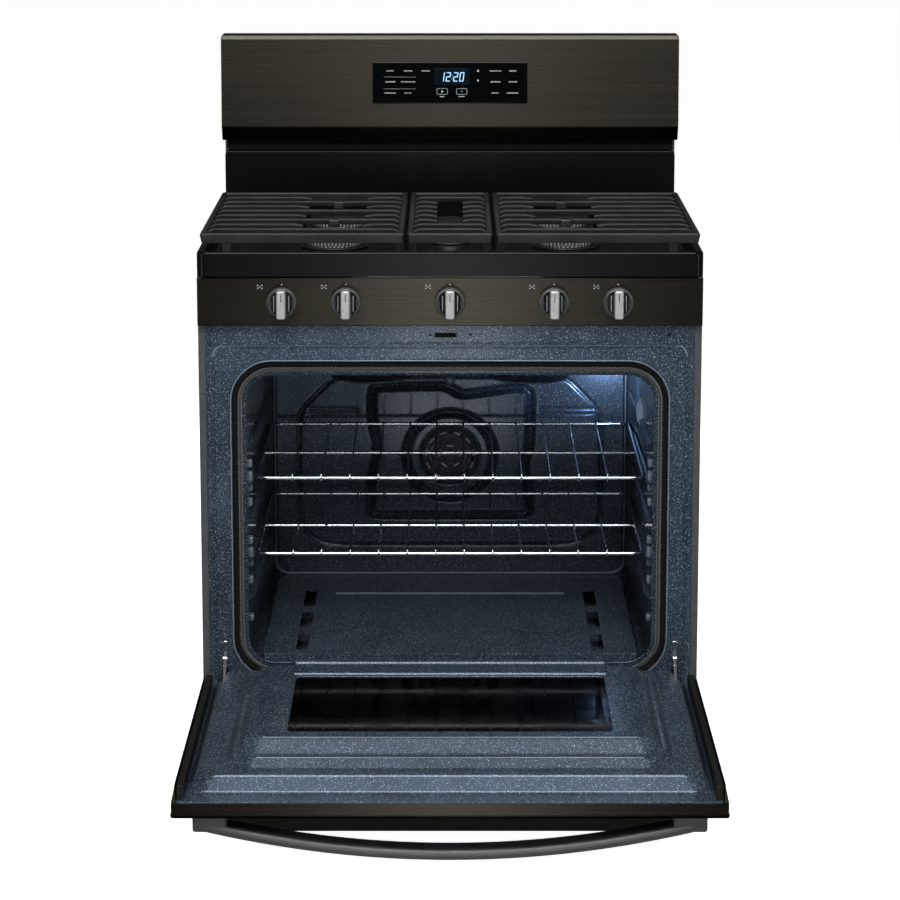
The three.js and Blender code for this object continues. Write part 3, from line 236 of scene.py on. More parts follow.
def bar(path, section, up=(0, 0, 1), scale=None):
    """A section carried along a path. At each point the section's first axis is the tangent crossed
    with up, and its second is square to both."""
    path, section = np.asarray(path, float), np.asarray(section, float)
    tangent = np.gradient(path, axis=0)
    tangent /= np.linalg.norm(tangent, axis=1, keepdims=True)
    side = np.cross(tangent, np.asarray(up, float))
    side /= np.linalg.norm(side, axis=1, keepdims=True)
    top = np.cross(side, tangent)
    size = np.ones(len(path)) if scale is None else np.asarray(scale, float)
    s = section[None] * size[:, None, None]
    return skin(path[:, None] + s[..., :1] * side[:, None] + s[..., 1:] * top[:, None])


def circle(radius, steps):
    """Points evenly round a circle: radius times (cos, sin)."""
    angle = np.arange(steps) / steps * 2 * math.pi
    return radius * np.stack([np.cos(angle), np.sin(angle)], -1)


def wire(path, radius, up=(0, 0, 1), sides=10):
    """A round wire along a path, with its ends rounded over by shrinking the last sections."""
    path = np.asarray(path, float)
    first, last = path[0] - path[1], path[-1] - path[-2]
    first, last = (v / np.linalg.norm(v) * radius * 0.5 for v in (first, last))
    path = np.concatenate([[path[0] + first], path, [path[-1] + last]])
    scale = np.ones(len(path))
    scale[[0, -1]] = 0.55
    return bar(path, circle(radius, sides), up, scale)


def lathe(profile, steps, wave=None):
    """A profile of (radius, height) turned about the vertical: radius times (cos, sin) at each angle.
    wave gives a change of radius for each profile point and angle. Each end closes in a fan about one
    point on the axis."""
    profile = np.asarray(profile, float)
    angle = np.arange(steps) / steps * 2 * math.pi
    body = profile[profile[:, 0] > 1e-6]
    radius = body[:, :1] + (0 if wave is None else wave(body, angle))
    rings = np.stack([radius * np.cos(angle), radius * np.sin(angle),
                      np.broadcast_to(body[:, 1:], (len(body), steps))], -1)
    n, j = len(body), np.arange(steps)
    sides = [face for face in skin(rings)[1] if len(face) == 4]
    points = np.concatenate([rings.reshape(-1, 3), [[0, 0, profile[0, 1]], [0, 0, profile[-1, 1]]]])
    ends = []
    for pole, first, step in ((n * steps, 0, -1), (n * steps + 1, (n - 1) * steps, 1)):
        fan = np.stack([np.full(steps, pole), first + j, first + (j + 1) % steps], -1)
        ends += fan[:, ::step].tolist()
    if volume(points, sides) * volume(points, ends) < 0:
        ends = [face[::-1] for face in ends]
    return outward(points, sides + ends)


def facing(solid, towards):
    """Turns a solid drawn about the vertical so that its top faces front, back, left or right."""
    x, y, z = solid[0].T
    turned = {"front": (x, -z, y), "back": (x, z, -y), "left": (-z, y, x), "right": (z, y, -x)}
    return np.stack(turned[towards], -1), solid[1]


def block(lo, hi, edge, steps=3):
    """A box with rounded edges: rings of rounded rectangles whose inset and height follow a quarter
    circle at the bottom and at the top."""
    lo, hi = np.asarray(lo, float), np.asarray(hi, float)
    edge = min(edge, *(0.49 * (hi - lo)))
    angle = np.linspace(0, math.pi / 2, steps + 1)
    inset = np.concatenate([edge * (1 - np.sin(angle)), edge * (1 - np.sin(angle))[::-1]])
    z = np.concatenate([lo[2] + edge * (1 - np.cos(angle)), hi[2] - edge * (1 - np.cos(angle))[::-1]])
    radius = edge * 1.02
    rings = [lying(rectangle(lo[0] + i, hi[0] - i, lo[1] + i, hi[1] - i, radius - i * 0.98, 4), h)
             for i, h in zip(inset, z)]
    return skin(rings)


# ---------------------------------------------------------------- pieces


def piece(name, solid, material, body="chassis", replaces=(), slot=None, weighted=True):
    """Makes the object, smooth shaded with its flat faces kept flat, and ties it to its CAD body."""
    points, faces = solid
    mesh = bpy.data.meshes.new(name)
    mesh.from_pydata((points * MM).tolist(), [], faces)
    mesh.validate()
    mesh.shade_smooth()
    mesh.set_sharp_from_angle(angle=math.radians(50))
    mesh.materials.append(material)
    obj = bpy.data.objects.new(name, mesh)
    bpy.context.scene.collection.objects.link(obj)
    if weighted:
        flat = obj.modifiers.new("flat_faces", "WEIGHTED_NORMAL")
        flat.keep_sharp = True
    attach(obj, body)
    if replaces:
        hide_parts(*replaces)
    return obj


def finish_cad(material, *nodes):
    """Gives carried-over CAD nodes their finish."""
    for name in nodes:
        mesh = frame["nodes"][name].data
        mesh.materials.clear()
        mesh.materials.append(material)


# ---------------------------------------------------------------- materials


def linear(hex_colour):
    """An sRGB hex colour as linear red, green, blue and alpha."""
    value = np.array([int(hex_colour[i:i + 2], 16) for i in (1, 3, 5)]) / 255
    channel = np.where(value <= 0.04045, value / 12.92, ((value + 0.055) / 1.055) ** 2.4)
    return (*channel.tolist(), 1.0)


def connect(node, sockets):
    """Sets a node's sockets to values, or links them; a node stands for its first output. A list goes
    in the sockets' own order, and a dict goes by their names or numbers."""
    for name, value in sockets.items() if isinstance(sockets, dict) else enumerate(sockets):
        if isinstance(value, bpy.types.Node):
            value = value.outputs[0]
        if isinstance(value, bpy.types.NodeSocket):
            node.id_data.links.new(value, node.inputs[name])
        else:
            node.inputs[name].default_value = value


def add(tree, kind, sockets=(), **settings):
    """One shader node, with its settings and the values and links of its sockets."""
    made = tree.nodes.new(kind)
    for name, value in settings.items():
        setattr(made, name, value)
    connect(made, sockets)
    return made


def per_metre(size_mm):
    """A pattern's scale: how many of its features, of a size in millimetres, fit in a metre."""
    return 1 / (size_mm * MM)


def finish(name, sockets):
    """A material on one Principled shader, whose constant sockets are set here, with its node tree and
    the Object coordinates, in metres, that its patterns follow."""
    made = bpy.data.materials.new(name)
    made.use_nodes = True
    tree = made.node_tree
    shader = tree.nodes["Principled BSDF"]
    connect(shader, sockets)
    return made, tree, shader, add(tree, "ShaderNodeTexCoord").outputs["Object"]


def speckled_enamel(name, base, fleck, cell_mm, reach):
    """Porcelain enamel, sprayed and fired: a glassy blue-black coat with pale flecks of mixed strength,
    one in each cell of the given size and fainter ones between, on a ground that clouds over seven
    centimetres, with a faint orange-peel four millimetres across. Real flecks are finer than two
    millimetres apart, and are drawn that coarse so that they show."""
    made, tree, shader, where = finish(name, {
        "Roughness": 0.22, "IOR": 1.52, "Coat Weight": 0.2, "Coat Roughness": 0.08,
        "Specular Tint": linear("#b2cbe6"),
    })
    cells = add(tree, "ShaderNodeTexVoronoi", {"Vector": where, "Scale": per_metre(cell_mm)})
    fine = add(tree, "ShaderNodeTexVoronoi", {"Vector": where, "Scale": per_metre(cell_mm / 1.9)})
    cloud = add(tree, "ShaderNodeTexNoise", {"Vector": where, "Scale": per_metre(71.4), "Detail": 3.0})
    peel = add(tree, "ShaderNodeTexNoise", {"Vector": where, "Scale": per_metre(3.85), "Detail": 1.0})
    spot = add(tree, "ShaderNodeMapRange", [cells, reach, reach * 0.45])
    spark = add(tree, "ShaderNodeMapRange", [fine, reach * 0.8, reach * 0.3, 0.0, 0.28])
    chance = add(tree, "ShaderNodeSeparateColor", [cells.outputs["Color"]])
    strength = add(tree, "ShaderNodeMath", [chance, 2.0], operation="POWER")
    both = add(tree, "ShaderNodeMath", [spot, strength], operation="MULTIPLY")
    total = add(tree, "ShaderNodeMath", [both, spark], operation="MAXIMUM")
    cloudy = add(tree, "ShaderNodeMapRange", [cloud, 0.35, 0.65])
    ground = add(tree, "ShaderNodeMix", {0: cloudy, 6: linear(base[0]), 7: linear(base[1])},
                 data_type="RGBA").outputs[2]
    connect(shader, {
        "Base Color": add(tree, "ShaderNodeMix", {0: total, 6: ground, 7: linear(fleck)},
                          data_type="RGBA").outputs[2],
        "Normal": add(tree, "ShaderNodeBump", {"Height": peel, "Distance": 0.06 * MM}),
    })
    return made


def brushed_metal(name, dark, light, rough, metallic=1.0, grain_mm=0.35, along=0):
    """Stainless steel brushed one way: streaks a third of a millimetre across and eight centimetres
    long shift its colour, roughness and height, and spread reflections across it. Real brushing is
    finer, and is drawn that coarse so that it shows."""
    made, tree, shader, where = finish(name, {
        "Metallic": metallic, "Anisotropic": 0.7, "Anisotropic Rotation": 0.25 if along == 0 else 0.0,
    })
    stretch = [per_metre(grain_mm)] * 3
    stretch[along] = per_metre(83.3)
    noises = []
    for size, detail in ((1, 3.0), (0.12, 2.0)):
        placed = add(tree, "ShaderNodeMapping", {"Vector": where, "Scale": [s * size for s in stretch]})
        noises.append(add(tree, "ShaderNodeTexNoise", {
            "Vector": placed, "Scale": 1.0, "Detail": detail,
        }))
    streak, broad = noises
    grain = add(tree, "ShaderNodeMapRange", [streak, 0.3, 0.7])
    connect(shader, {
        "Tangent": add(tree, "ShaderNodeTangent", direction_type="RADIAL", axis="Z"),
        "Base Color": add(tree, "ShaderNodeMix", {0: grain, 6: linear(dark), 7: linear(light)},
                          data_type="RGBA").outputs[2],
        "Roughness": add(tree, "ShaderNodeMapRange", [broad, 0.3, 0.7, rough * 0.95, rough * 1.05]),
        "Normal": add(tree, "ShaderNodeBump", {"Height": grain, "Distance": 0.001 * MM}),
    })
    return made


def gloss_enamel(name, colour, rough):
    """Black porcelain enamel on steel: glassy, with a waviness four centimetres long that bends
    reflections, and dust of about a millimetre that dulls them."""
    made, tree, shader, where = finish(name, {
        "Base Color": linear(colour), "IOR": 1.36, "Specular IOR Level": 0.22,
    })
    dust = add(tree, "ShaderNodeTexNoise", {"Vector": where, "Scale": per_metre(1.43), "Detail": 2.0})
    wave = add(tree, "ShaderNodeTexNoise", {"Vector": where, "Scale": per_metre(40), "Detail": 1.0})
    connect(shader, {
        "Roughness": add(tree, "ShaderNodeMapRange", [dust, 0.3, 0.7, rough, rough + 0.08]),
        "Normal": add(tree, "ShaderNodeBump", {"Height": wave, "Distance": 0.08 * MM}),
    })
    return made


def cast_iron(name, colour, worn, rough=0.5):
    """Cast iron under satin enamel: a sand-cast grain of about a millimetre shows through, and patches
    three centimetres wide are worn paler."""
    made, tree, shader, where = finish(name, {"IOR": 1.5, "Specular IOR Level": 0.45})
    grain = add(tree, "ShaderNodeTexNoise", {"Vector": where, "Scale": per_metre(1.11), "Detail": 3.0})
    patch = add(tree, "ShaderNodeTexNoise", {"Vector": where, "Scale": per_metre(33.3), "Detail": 3.0})
    wear = add(tree, "ShaderNodeMapRange", [patch, 0.4, 0.7])
    connect(shader, {
        "Base Color": add(tree, "ShaderNodeMix", {0: wear, 6: linear(colour), 7: linear(worn)},
                          data_type="RGBA").outputs[2],
        "Roughness": add(tree, "ShaderNodeMapRange", [grain, 0.3, 0.7, rough - 0.1, rough + 0.1]),
        "Normal": add(tree, "ShaderNodeBump", {"Height": grain, "Distance": 0.12 * MM}),
    })
    return made


def stippled_paint(name, dark, light, rough, grain_mm, depth_mm):
    """Baked paint with a stipple: shallow bumps about a millimetre apart break up the gloss."""
    made, tree, shader, where = finish(name, {"IOR": 1.48, "Specular IOR Level": 0.3})
    grain = add(tree, "ShaderNodeTexNoise", {
        "Vector": where, "Scale": per_metre(grain_mm), "Detail": 2.0,
    })
    tone = add(tree, "ShaderNodeMapRange", [grain, 0.3, 0.7])
    connect(shader, {
        "Base Color": add(tree, "ShaderNodeMix", {0: tone, 6: linear(dark), 7: linear(light)},
                          data_type="RGBA").outputs[2],
        "Roughness": add(tree, "ShaderNodeMapRange", [grain, 0.3, 0.7, rough, rough + 0.15]),
        "Normal": add(tree, "ShaderNodeBump", {"Height": grain, "Distance": depth_mm * MM}),
    })
    return made


def plated(name, colour, rough, metallic=1.0, dull=0.12):
    """Plated or cast metal: a cloud of duller spots six millimetres wide on a smooth coat."""
    made, tree, shader, where = finish(name, {"Metallic": metallic})
    cloud = add(tree, "ShaderNodeTexNoise", {"Vector": where, "Scale": per_metre(6.25), "Detail": 4.0})
    shade = tuple(c * 0.82 for c in linear(colour)[:3]) + (1.0,)
    share = add(tree, "ShaderNodeMapRange", [cloud, 0.35, 0.7])
    connect(shader, {
        "Base Color": add(tree, "ShaderNodeMix", {0: share, 6: linear(colour), 7: shade},
                          data_type="RGBA").outputs[2],
        "Roughness": add(tree, "ShaderNodeMapRange", [cloud, 0.3, 0.7, rough, rough + dull]),
    })
    return made


def woven_seal(name):
    """Braided glass fibre over a wire core: slanted strands three millimetres apart. A diagonal wave of
    scale 1 repeats each 2 pi / 10 along the axes, and closer by the root of 3 across its bands."""
    made, tree, shader, where = finish(name, {"Roughness": 0.9, "Sheen Weight": 0.3})
    slanted = add(tree, "ShaderNodeMapping", {"Vector": where, "Scale": (1.0, 1.3, 1.0)})
    weave = add(tree, "ShaderNodeTexWave", {
        "Vector": slanted, "Scale": 2 * math.pi / 10 / math.sqrt(3) * per_metre(3.3), "Distortion": 1.0,
    }, bands_direction="DIAGONAL").outputs["Fac"]
    connect(shader, {
        "Base Color": add(tree, "ShaderNodeMix", {0: weave, 6: linear("#111112"), 7: linear("#2c2c2b")},
                          data_type="RGBA").outputs[2],
        "Normal": add(tree, "ShaderNodeBump", {"Height": weave, "Distance": 0.5 * MM}),
    })
    return made


def dark_glass(name, tint, rough=0.03, shine=0.6):
    """Float glass with a dark backing: a clear reflection over near-black, with faint smears five
    centimetres wide."""
    made, tree, shader, where = finish(name, {
        "Base Color": linear(tint), "IOR": 1.52, "Specular IOR Level": shine,
    })
    smear = add(tree, "ShaderNodeTexNoise", {"Vector": where, "Scale": per_metre(55.6), "Detail": 3.0})
    connect(shader, {
        "Roughness": add(tree, "ShaderNodeMapRange", [smear, 0.45, 0.75, rough, rough + 0.05]),
    })
    return made


def glowing(name, colour, strength):
    """Lit segments of a display, a lamp's glass, or print given a faint painted glow: the colour is
    given off as light.
    """
    return finish(name, {
        "Roughness": 0.4, "Base Color": linear(colour),
        "Emission Color": linear(colour), "Emission Strength": strength,
    })[0]


ENAMEL = speckled_enamel("porcelain enamel, blue speckle", ("#18212a", "#232e39"), "#aab7c2",
                         1.9, 0.36)
BLACK_STAINLESS = brushed_metal("black stainless steel, brushed", "#39372f", "#3c3a33", 0.27)
BLACK_ENAMEL = gloss_enamel("black porcelain enamel", "#0a0a0b", 0.16)
IRON = cast_iron("cast iron, satin enamelled", "#171718", "#222223")
CAP_ENAMEL = cast_iron("burner cap, matte enamelled", "#0f1011", "#191a1b", 0.42)
SIDE_PAINT = stippled_paint("stippled black paint", "#101011", "#505255", 0.35, 1.3, 0.5)
# Near-black paint for the door's rails; on the drawer its darkness is painted shade from the open door,
# the drawer's real front being black stainless.
BLACK_PAINT_AND_SHADE = stippled_paint("smooth near-black paint, painted shade on the drawer", "#0c0b08", "#100f0c", 0.5, 3.0, 0.02)
CHROME = plated("chrome-plated wire", "#d5dade", 0.12)
HINGE_STEEL = plated("zinc-plated steel", "#3c3e40", 0.5, 0.6)
ZINC = plated("galvanised sheet", "#8c9092", 0.4, 0.9, 0.2)
BURNER_METAL = plated("cast aluminium", "#6c6e6f", 0.4)
BRASS = plated("machined brass", "#b4955a", 0.3)
# Lighter than the handle's dark steel: painted light where the open door shades the handle.
HANDLE_METAL = brushed_metal("dark stainless steel, brushed", "#4a4a4a", "#565656", 0.36, 0.6)
# Lighter than the enamel, for beads, pads and fine lines: painted highlights on edges and ridges.
HIGHLIGHT_ENAMEL = plated("enamel lightened for painted highlights", "#6d7a86", 0.28, 0.3)
# Near-white for the fan grille's tabs: painted glints.
GRILLE_GLINT_WHITE = plated("pale glints painted on the grille's slot edges", "#c9ced2", 0.4, 0.1)
# Pale steel for the fascia's top edge: a painted highlight.
FASCIA_HIGHLIGHT_STEEL = plated("pale steel, painted highlight along the fascia's top", "#9b988f", 0.45, 0.35)
KNOB_GREY = brushed_metal("knob skirt, grey metal", "#4f5051", "#6a6b6c", 0.35, 0.7, 0.25, 2)
GRILLE = plated("fan grille, aluminised steel", "#5a5e62", 0.5, 0.7)
KNOB_DARK = brushed_metal("knob, dark metal", "#1d1e20", "#313335", 0.32, 0.9, 0.25, 2)
KNOB_BRIGHT = plated("knob grip, satin nickel", "#bdbdbd", 0.32, 0.7)
SEAL = woven_seal("braided glass fibre")
DISPLAY_GLASS = dark_glass("black printed glass", "#050607")
WINDOW_GLASS = dark_glass("tinted oven glass", "#010101", 0.05, 0.02)
LCD = dark_glass("liquid crystal window", "#0b1219")
# Pale print with a faint emission: a painted glow, as the print is no lamp.
GLOWING_PRINT = glowing("pale printed marks with a painted glow", "#a4a9ac", 0.1)
DIGITS = glowing("lit display segments", "#93bfe0", 0.9)
LAMP = glowing("lamp glass, lit", "#8fa9c2", 0.12)
# Near-black and nearly without gloss: painted shade, laid in the vent, the seal's channel and the
# frame's openings; the knobs' pointer marks are drawn in it too.
DARK_GAP = stippled_paint("shadowed inside", "#020202", "#040404", 0.9, 2.0, 0.05)

# ---------------------------------------------------------------- backguard

GUARD_LO, GUARD_HI = box("backguard_fascia")
SPLASH_LO, SPLASH_HI = box("backsplash")
BEVEL = (14.0, 23.0)                    # set-back and height of the fascia's lower bevel
FOOT = np.array([GUARD_LO[1], GUARD_LO[2] + BEVEL[1]])
FACE_TOP = np.array([GUARD_LO[1] + 9, GUARD_HI[2] - 4])
LEAN = (FACE_TOP - FOOT) / np.linalg.norm(FACE_TOP - FOOT)


def on_face(solid):
    """Lays (x, depth out of the face, height above its foot) on the leaning face."""
    x, out, h = solid[0].T
    return np.stack([x, FOOT[0] + h * LEAN[0] + out * LEAN[1],
                     FOOT[1] + h * LEAN[1] - out * LEAN[0]], -1), solid[1]


def fascia():
    """A side view run across the range, whose ends are rounded over by drawing the last two views in
    towards their middle."""
    corners = [
        [FOOT[0] + BEVEL[0], GUARD_LO[2]], [GUARD_HI[1], GUARD_LO[2]], [GUARD_HI[1], GUARD_HI[2]],
        [FACE_TOP[0] + 16, GUARD_HI[2]], [FACE_TOP[0] + 15, GUARD_HI[2] - 0.5], FACE_TOP, FOOT,
    ]
    view = rounded(corners, [1, 1, 1, 0.3, 0.3, 1.2, 2.5], 5)
    middle = view.mean(0)
    size = (view.max(0) - view.min(0)) / 2
    rings = []
    for x, inset in ((-HALF, 1.4), (-HALF + 0.4, 0.4), (-HALF + 1.4, 0)):
        rings.append(across(middle + (view - middle) * (1 - inset / size), x))
    rings += [ring * [-1, 1, 1] for ring in rings[::-1]]
    return skin(rings)


def fascia_top_highlight():
    """A thin pale sliver over the face's upper edge: a painted highlight along the top."""
    view = np.array([FACE_TOP + [0.2, -0.6], FACE_TOP + [-0.1, 0.3],
                     [FACE_TOP[0] + 15, GUARD_HI[2] - 0.1], [FACE_TOP[0] + 15, GUARD_HI[2] - 1]])
    return skin([across(view, x) for x in (-HALF + 2, HALF - 2)])


piece("fascia", fascia(), BLACK_STAINLESS, replaces=["backguard_fascia"], slot="black_stainless")
# the pale sliver paints the highlight along the fascia's top
piece("fascia_top_highlight", fascia_top_highlight(), FASCIA_HIGHLIGHT_STEEL, slot="black_stainless")


def backsplash():
    """Rings of one rounded front view, drawn in by a rounded edge at the front."""
    edge = [(2.0, 0), (0.6, 0.6), (0, 2.0)]
    lo, hi = SPLASH_LO, SPLASH_HI
    rings = [standing(rectangle(lo[0] + i, hi[0] - i, lo[2] + i, hi[2] - i, 7 - i), lo[1] + d)
             for i, d in edge]
    rings.append(standing(rectangle(lo[0], hi[0], lo[2], hi[2], 7), hi[1]))
    return skin(rings)


piece("backsplash_panel", backsplash(), BLACK_ENAMEL, replaces=["backsplash"], slot="black_enamel")

# A near-black block behind the gap between backsplash and fascia: painted shade inside the vent.
vent = block([SPLASH_LO[0] + 2, SPLASH_LO[1] + 22, SPLASH_HI[2] + 0.2],
             [SPLASH_HI[0] - 2, SPLASH_HI[1] - 1, GUARD_LO[2] - 0.2], 0.5)
piece("vent_painted_shade", vent, DARK_GAP, slot="black_enamel")

DISPLAY_BOTTOM, DISPLAY_SIZE = 40.0, (257.0, 67.5)   # above the face's foot; width and height


def tablet(x0, x1, h0, h1, front, back, r, edge=0.5):
    """A plate on the face: rounded rectangles, drawn in by its rounded edge at the front."""
    rings = [standing(rectangle(x0 + i, x1 - i, h0 + i, h1 - i, max(r - i, 0.05), 5), y)
             for i, y in ((edge, front), (edge * 0.3, front + edge * 0.3), (0, front + edge))]
    rings.append(standing(rectangle(x0, x1, h0, h1, r, 5), back))
    return skin(rings)


def display():
    """The glass, the clock and the printed marks on it."""
    width, height = DISPLAY_SIZE
    glass = tablet(-width / 2, width / 2, DISPLAY_BOTTOM, DISPLAY_BOTTOM + height, -3, 0.5, 2.5)
    piece("display_panel", on_face(glass), DISPLAY_GLASS, replaces=["display_glass"],
          slot="display_glass")
    window = tablet(-26, 32, DISPLAY_BOTTOM + 30, DISPLAY_BOTTOM + 57, -3.15, -2.8, 1, 0.1)
    piece("display_window", on_face(window), LCD, slot="display_glass")
    piece("display_digits", on_face(merged(*clock())), DIGITS, weighted=False)
    # the printed marks glow faintly: painted light
    piece("display_marks", on_face(merged(*marks())), GLOWING_PRINT, weighted=False)


def stroke(x0, x1, h0, h1):
    """A thin flat bar, printed on the glass."""
    return skin([standing(rectangle(x0, x1, h0, h1, 0.1, 1), y) for y in (-3.35, -3.1)])


def clock():
    """Seven-segment digits for 12:20. Each has two columns and three rows of strokes, slanted."""
    lit = {"1": "bc", "2": "abged", "0": "abcdef"}
    w, h, t = 7.0, 15.0, 1.3
    places = {
        "a": (0, w, h - t, h), "g": (0, w, (h - t) / 2, (h + t) / 2), "d": (0, w, 0, t),
        "b": (w - t, w, h / 2, h), "c": (w - t, w, 0, h / 2),
        "f": (0, t, h / 2, h), "e": (0, t, 0, h / 2),
    }
    strokes = []
    for digit, x in zip("1220", (-17.5, -7.5, 5.0, 15.0)):
        for segment in lit[digit]:
            x0, x1, h0, h1 = places[segment]
            strokes.append(stroke(x + x0, x + x1, h0, h1))
    strokes += [stroke(1.7, 3.0, z, z + 1.3) for z in (4.0, 9.5)]
    made = []
    for points, faces in strokes:
        points = points + [0, 0, DISPLAY_BOTTOM + 36]
        points[:, 0] += 0.14 * (points[:, 2] - DISPLAY_BOTTOM - 36)
        made.append((points, faces))
    return made


def frame_line(x0, x1, h0, h1):
    """A thin rectangular outline: two rounded rectangles half a millimetre apart, joined front and
    back."""
    outer, inner = [rectangle(x0 + i, x1 - i, h0 + i, h1 - i, 1.6 - i, 4) for i in (0, 0.5)]
    return skin([standing(outer, -3.35), standing(inner, -3.35), standing(inner, -3.1),
                 standing(outer, -3.1)], joined=True)


def triangle(x, h, size, towards):
    """A small solid triangle that points right, up or down."""
    turn = {"right": 0, "up": math.pi / 2, "down": -math.pi / 2}[towards]
    angle = turn + np.arange(3) * 2 * math.pi / 3
    outline = np.stack([x + size * np.cos(angle), h + size * np.sin(angle)], -1)
    return skin([standing(outline, y) for y in (-3.35, -3.1)])


def marks():
    """Short bars stand for the names of the keys, in columns on both sides of the clock."""
    rows = [DISPLAY_BOTTOM + r for r in (52.5, 34.5, 16.0)]
    lengths = {-98.2: (13, 17, 20), -69.0: (14, 24, 13), -40.0: (14, 0, 0), 75.4: (18, 16, 12),
               104.5: (12, 14, 20)}
    made = []
    for x, widths in lengths.items():
        for row, width in zip(rows, widths):
            if width:
                letters = np.arange(-width / 2, width / 2 - 1, 2.4)
                made += [stroke(x + a, x + a + 1.5, row, row + 1.7) for a in letters]
    made += [stroke(-110, -57, rows[0] - 9.3, rows[0] - 9.0), stroke(-110, -57, 63.6, 63.9)]
    made += [frame_line(-22, -4, 54.5, 64.5), frame_line(10.5, 28.5, 54.5, 64.5)]
    made += [triangle(-13, 59.5, 2.4, "right"), triangle(46.3, rows[0] + 1, 2.2, "up"),
             triangle(46.3, rows[1] + 3, 2.2, "down")]
    made += [stroke(18, 21, 59.2, 59.9), stroke(-17, -9, 50.5, 51.7), stroke(14, 24, 50.5, 51.7)]
    return made


display()

# ---------------------------------------------------------------- cooktop and burners


def cooktop():
    """Rings in plan whose inset and height follow the rim's rounded section, from the outer wall over
    the rim and down the slope to the sunken surface. The rim fades out towards the back."""
    lo, hi = TOP_LO, TOP_HI
    section = rounded([[0, lo[2]], [0, hi[2]], [13, hi[2]], [21, PAN_Z], [34, PAN_Z]],
                      [0, 5, 3, 4, 1], 5, closed=False)
    rings = []
    for i, z in section:
        outline = rectangle(lo[0] + i, hi[0] - i, lo[1] + i, hi[1] - i, max(14 - i, 4), 6, 24)
        share = smooth_step(outline[:, 1], hi[1] - 50, hi[1] - 26)
        rings.append(lying(outline, z + share * (min(z, PAN_Z) - z)))
    return skin(rings)


piece("cooktop_pan", cooktop(), BLACK_ENAMEL, replaces=["cooktop"], slot="black_enamel")


def round_head():
    """A turned head whose upper ring is notched by flame ports."""
    ports, depth = 48, 1.6
    profile = rounded([[0, -10], [18, -10], [18, 3.8], [47.6, 3.8], [47.5, 7], [46, 13], [0, 13]],
                      [0, 1, 1, 0.5, 1, 1, 0], 3, closed=False)

    def wave(body, angle):
        """Draws the ring of ports in wherever a sine of the angle is above nought."""
        ported = ((body[:, 0] > 40) & (body[:, 1] > 6) & (body[:, 1] < 12.6))[:, None]
        return -depth * ported * (np.sin(angle * ports) > 0.1)[None]

    return lathe(profile, ports * 4, wave)


def stadium(inset, half, end):
    """A long round-ended outline, drawn in by an inset."""
    return rectangle(-half + inset, half - inset, -end + inset, end - inset, half - inset, 16)


def oval_head(half, end):
    """Rings whose inset and height follow the head's section."""
    section = rounded([[8, 0.3], [0, 0.3], [0, 4], [5, 8], [5, 13], [9, 13]], [0, 1, 1, 1, 1, 0], 3,
                      closed=False)
    return skin([lying(stadium(i, half, end), z) for i, z in section])


for name in BURNERS:
    cap_lo, cap_hi = box(f"burner_cap_{name}")
    centre = np.array([*((cap_lo + cap_hi) / 2)[:2], PAN_Z])
    half, end = (cap_hi - cap_lo)[:2] / 2
    low, high = cap_lo[2] - PAN_Z, cap_hi[2] - PAN_Z
    if name == "center":
        head = oval_head(half + 6, end + 6)
        section = rounded([[3, low], [0, low], [0, low + 4], [5, high], [14, high + 0.2]],
                          [0, 1, 2, 3, 0], 3, closed=False)
        cap = skin([lying(stadium(i, half, end), z) for i, z in section])
    else:
        head = round_head()
        base = lathe(rounded([[0, 0.3], [52, 0.3], [52, 3.4], [0, 3.4]], [0, 1, 1.5, 0], 4, False), 96)
        piece(f"{name}_burner_base", moved(base, centre), CAP_ENAMEL, slot="cap_enamel")
        section = rounded([[0, low], [half, low], [half, low + 4], [half - 8, high], [0, high + 0.3]],
                          [0, 1, 2.5, 6, 0], 4, closed=False)
        cap = lathe(section, 96)
    piece(f"{name}_burner_head", moved(head, centre), BURNER_METAL,
          replaces=[f"burner_head_{name}"], slot="burner_aluminium")
    piece(f"{name}_burner_cap", moved(cap, centre), CAP_ENAMEL,
          replaces=[f"burner_cap_{name}"], slot="cap_enamel")

# ---------------------------------------------------------------- grates

BAR = (9.0, 15.0)                       # width and height of a rail
BARS = 10
SIDE_BURNERS_X = 179.0                  # from the middle to the side burners


def bar_section(width, height):
    """Narrower at its foot, with its two upper edges rounded."""
    w, h = width / 2, height
    return rounded([[-w * 0.55, -h], [w * 0.55, -h], [w, -2], [w * 0.7, 0], [-w * 0.7, 0], [-w, -2]],
                   [1, 1, 1.5, 1, 1, 1.5], 2)


def grate_bar(x0, x1, y, z, ends, section):
    """A cross bar. Where it meets a rail its top slopes down by a few millimetres."""
    dips = [6.0 * e for e in ends]
    x = np.array([x0, x0 + 3, x0 + 12, x0 + 16, x1 - 16, x1 - 12, x1 - 3, x1])
    slope = np.array([1, 0.8, 0.1, 0])
    drop = np.concatenate([dips[0] * slope, dips[1] * slope[::-1]])
    path = np.stack([x, np.full(8, y), z - drop], -1)
    return bar(path, section)


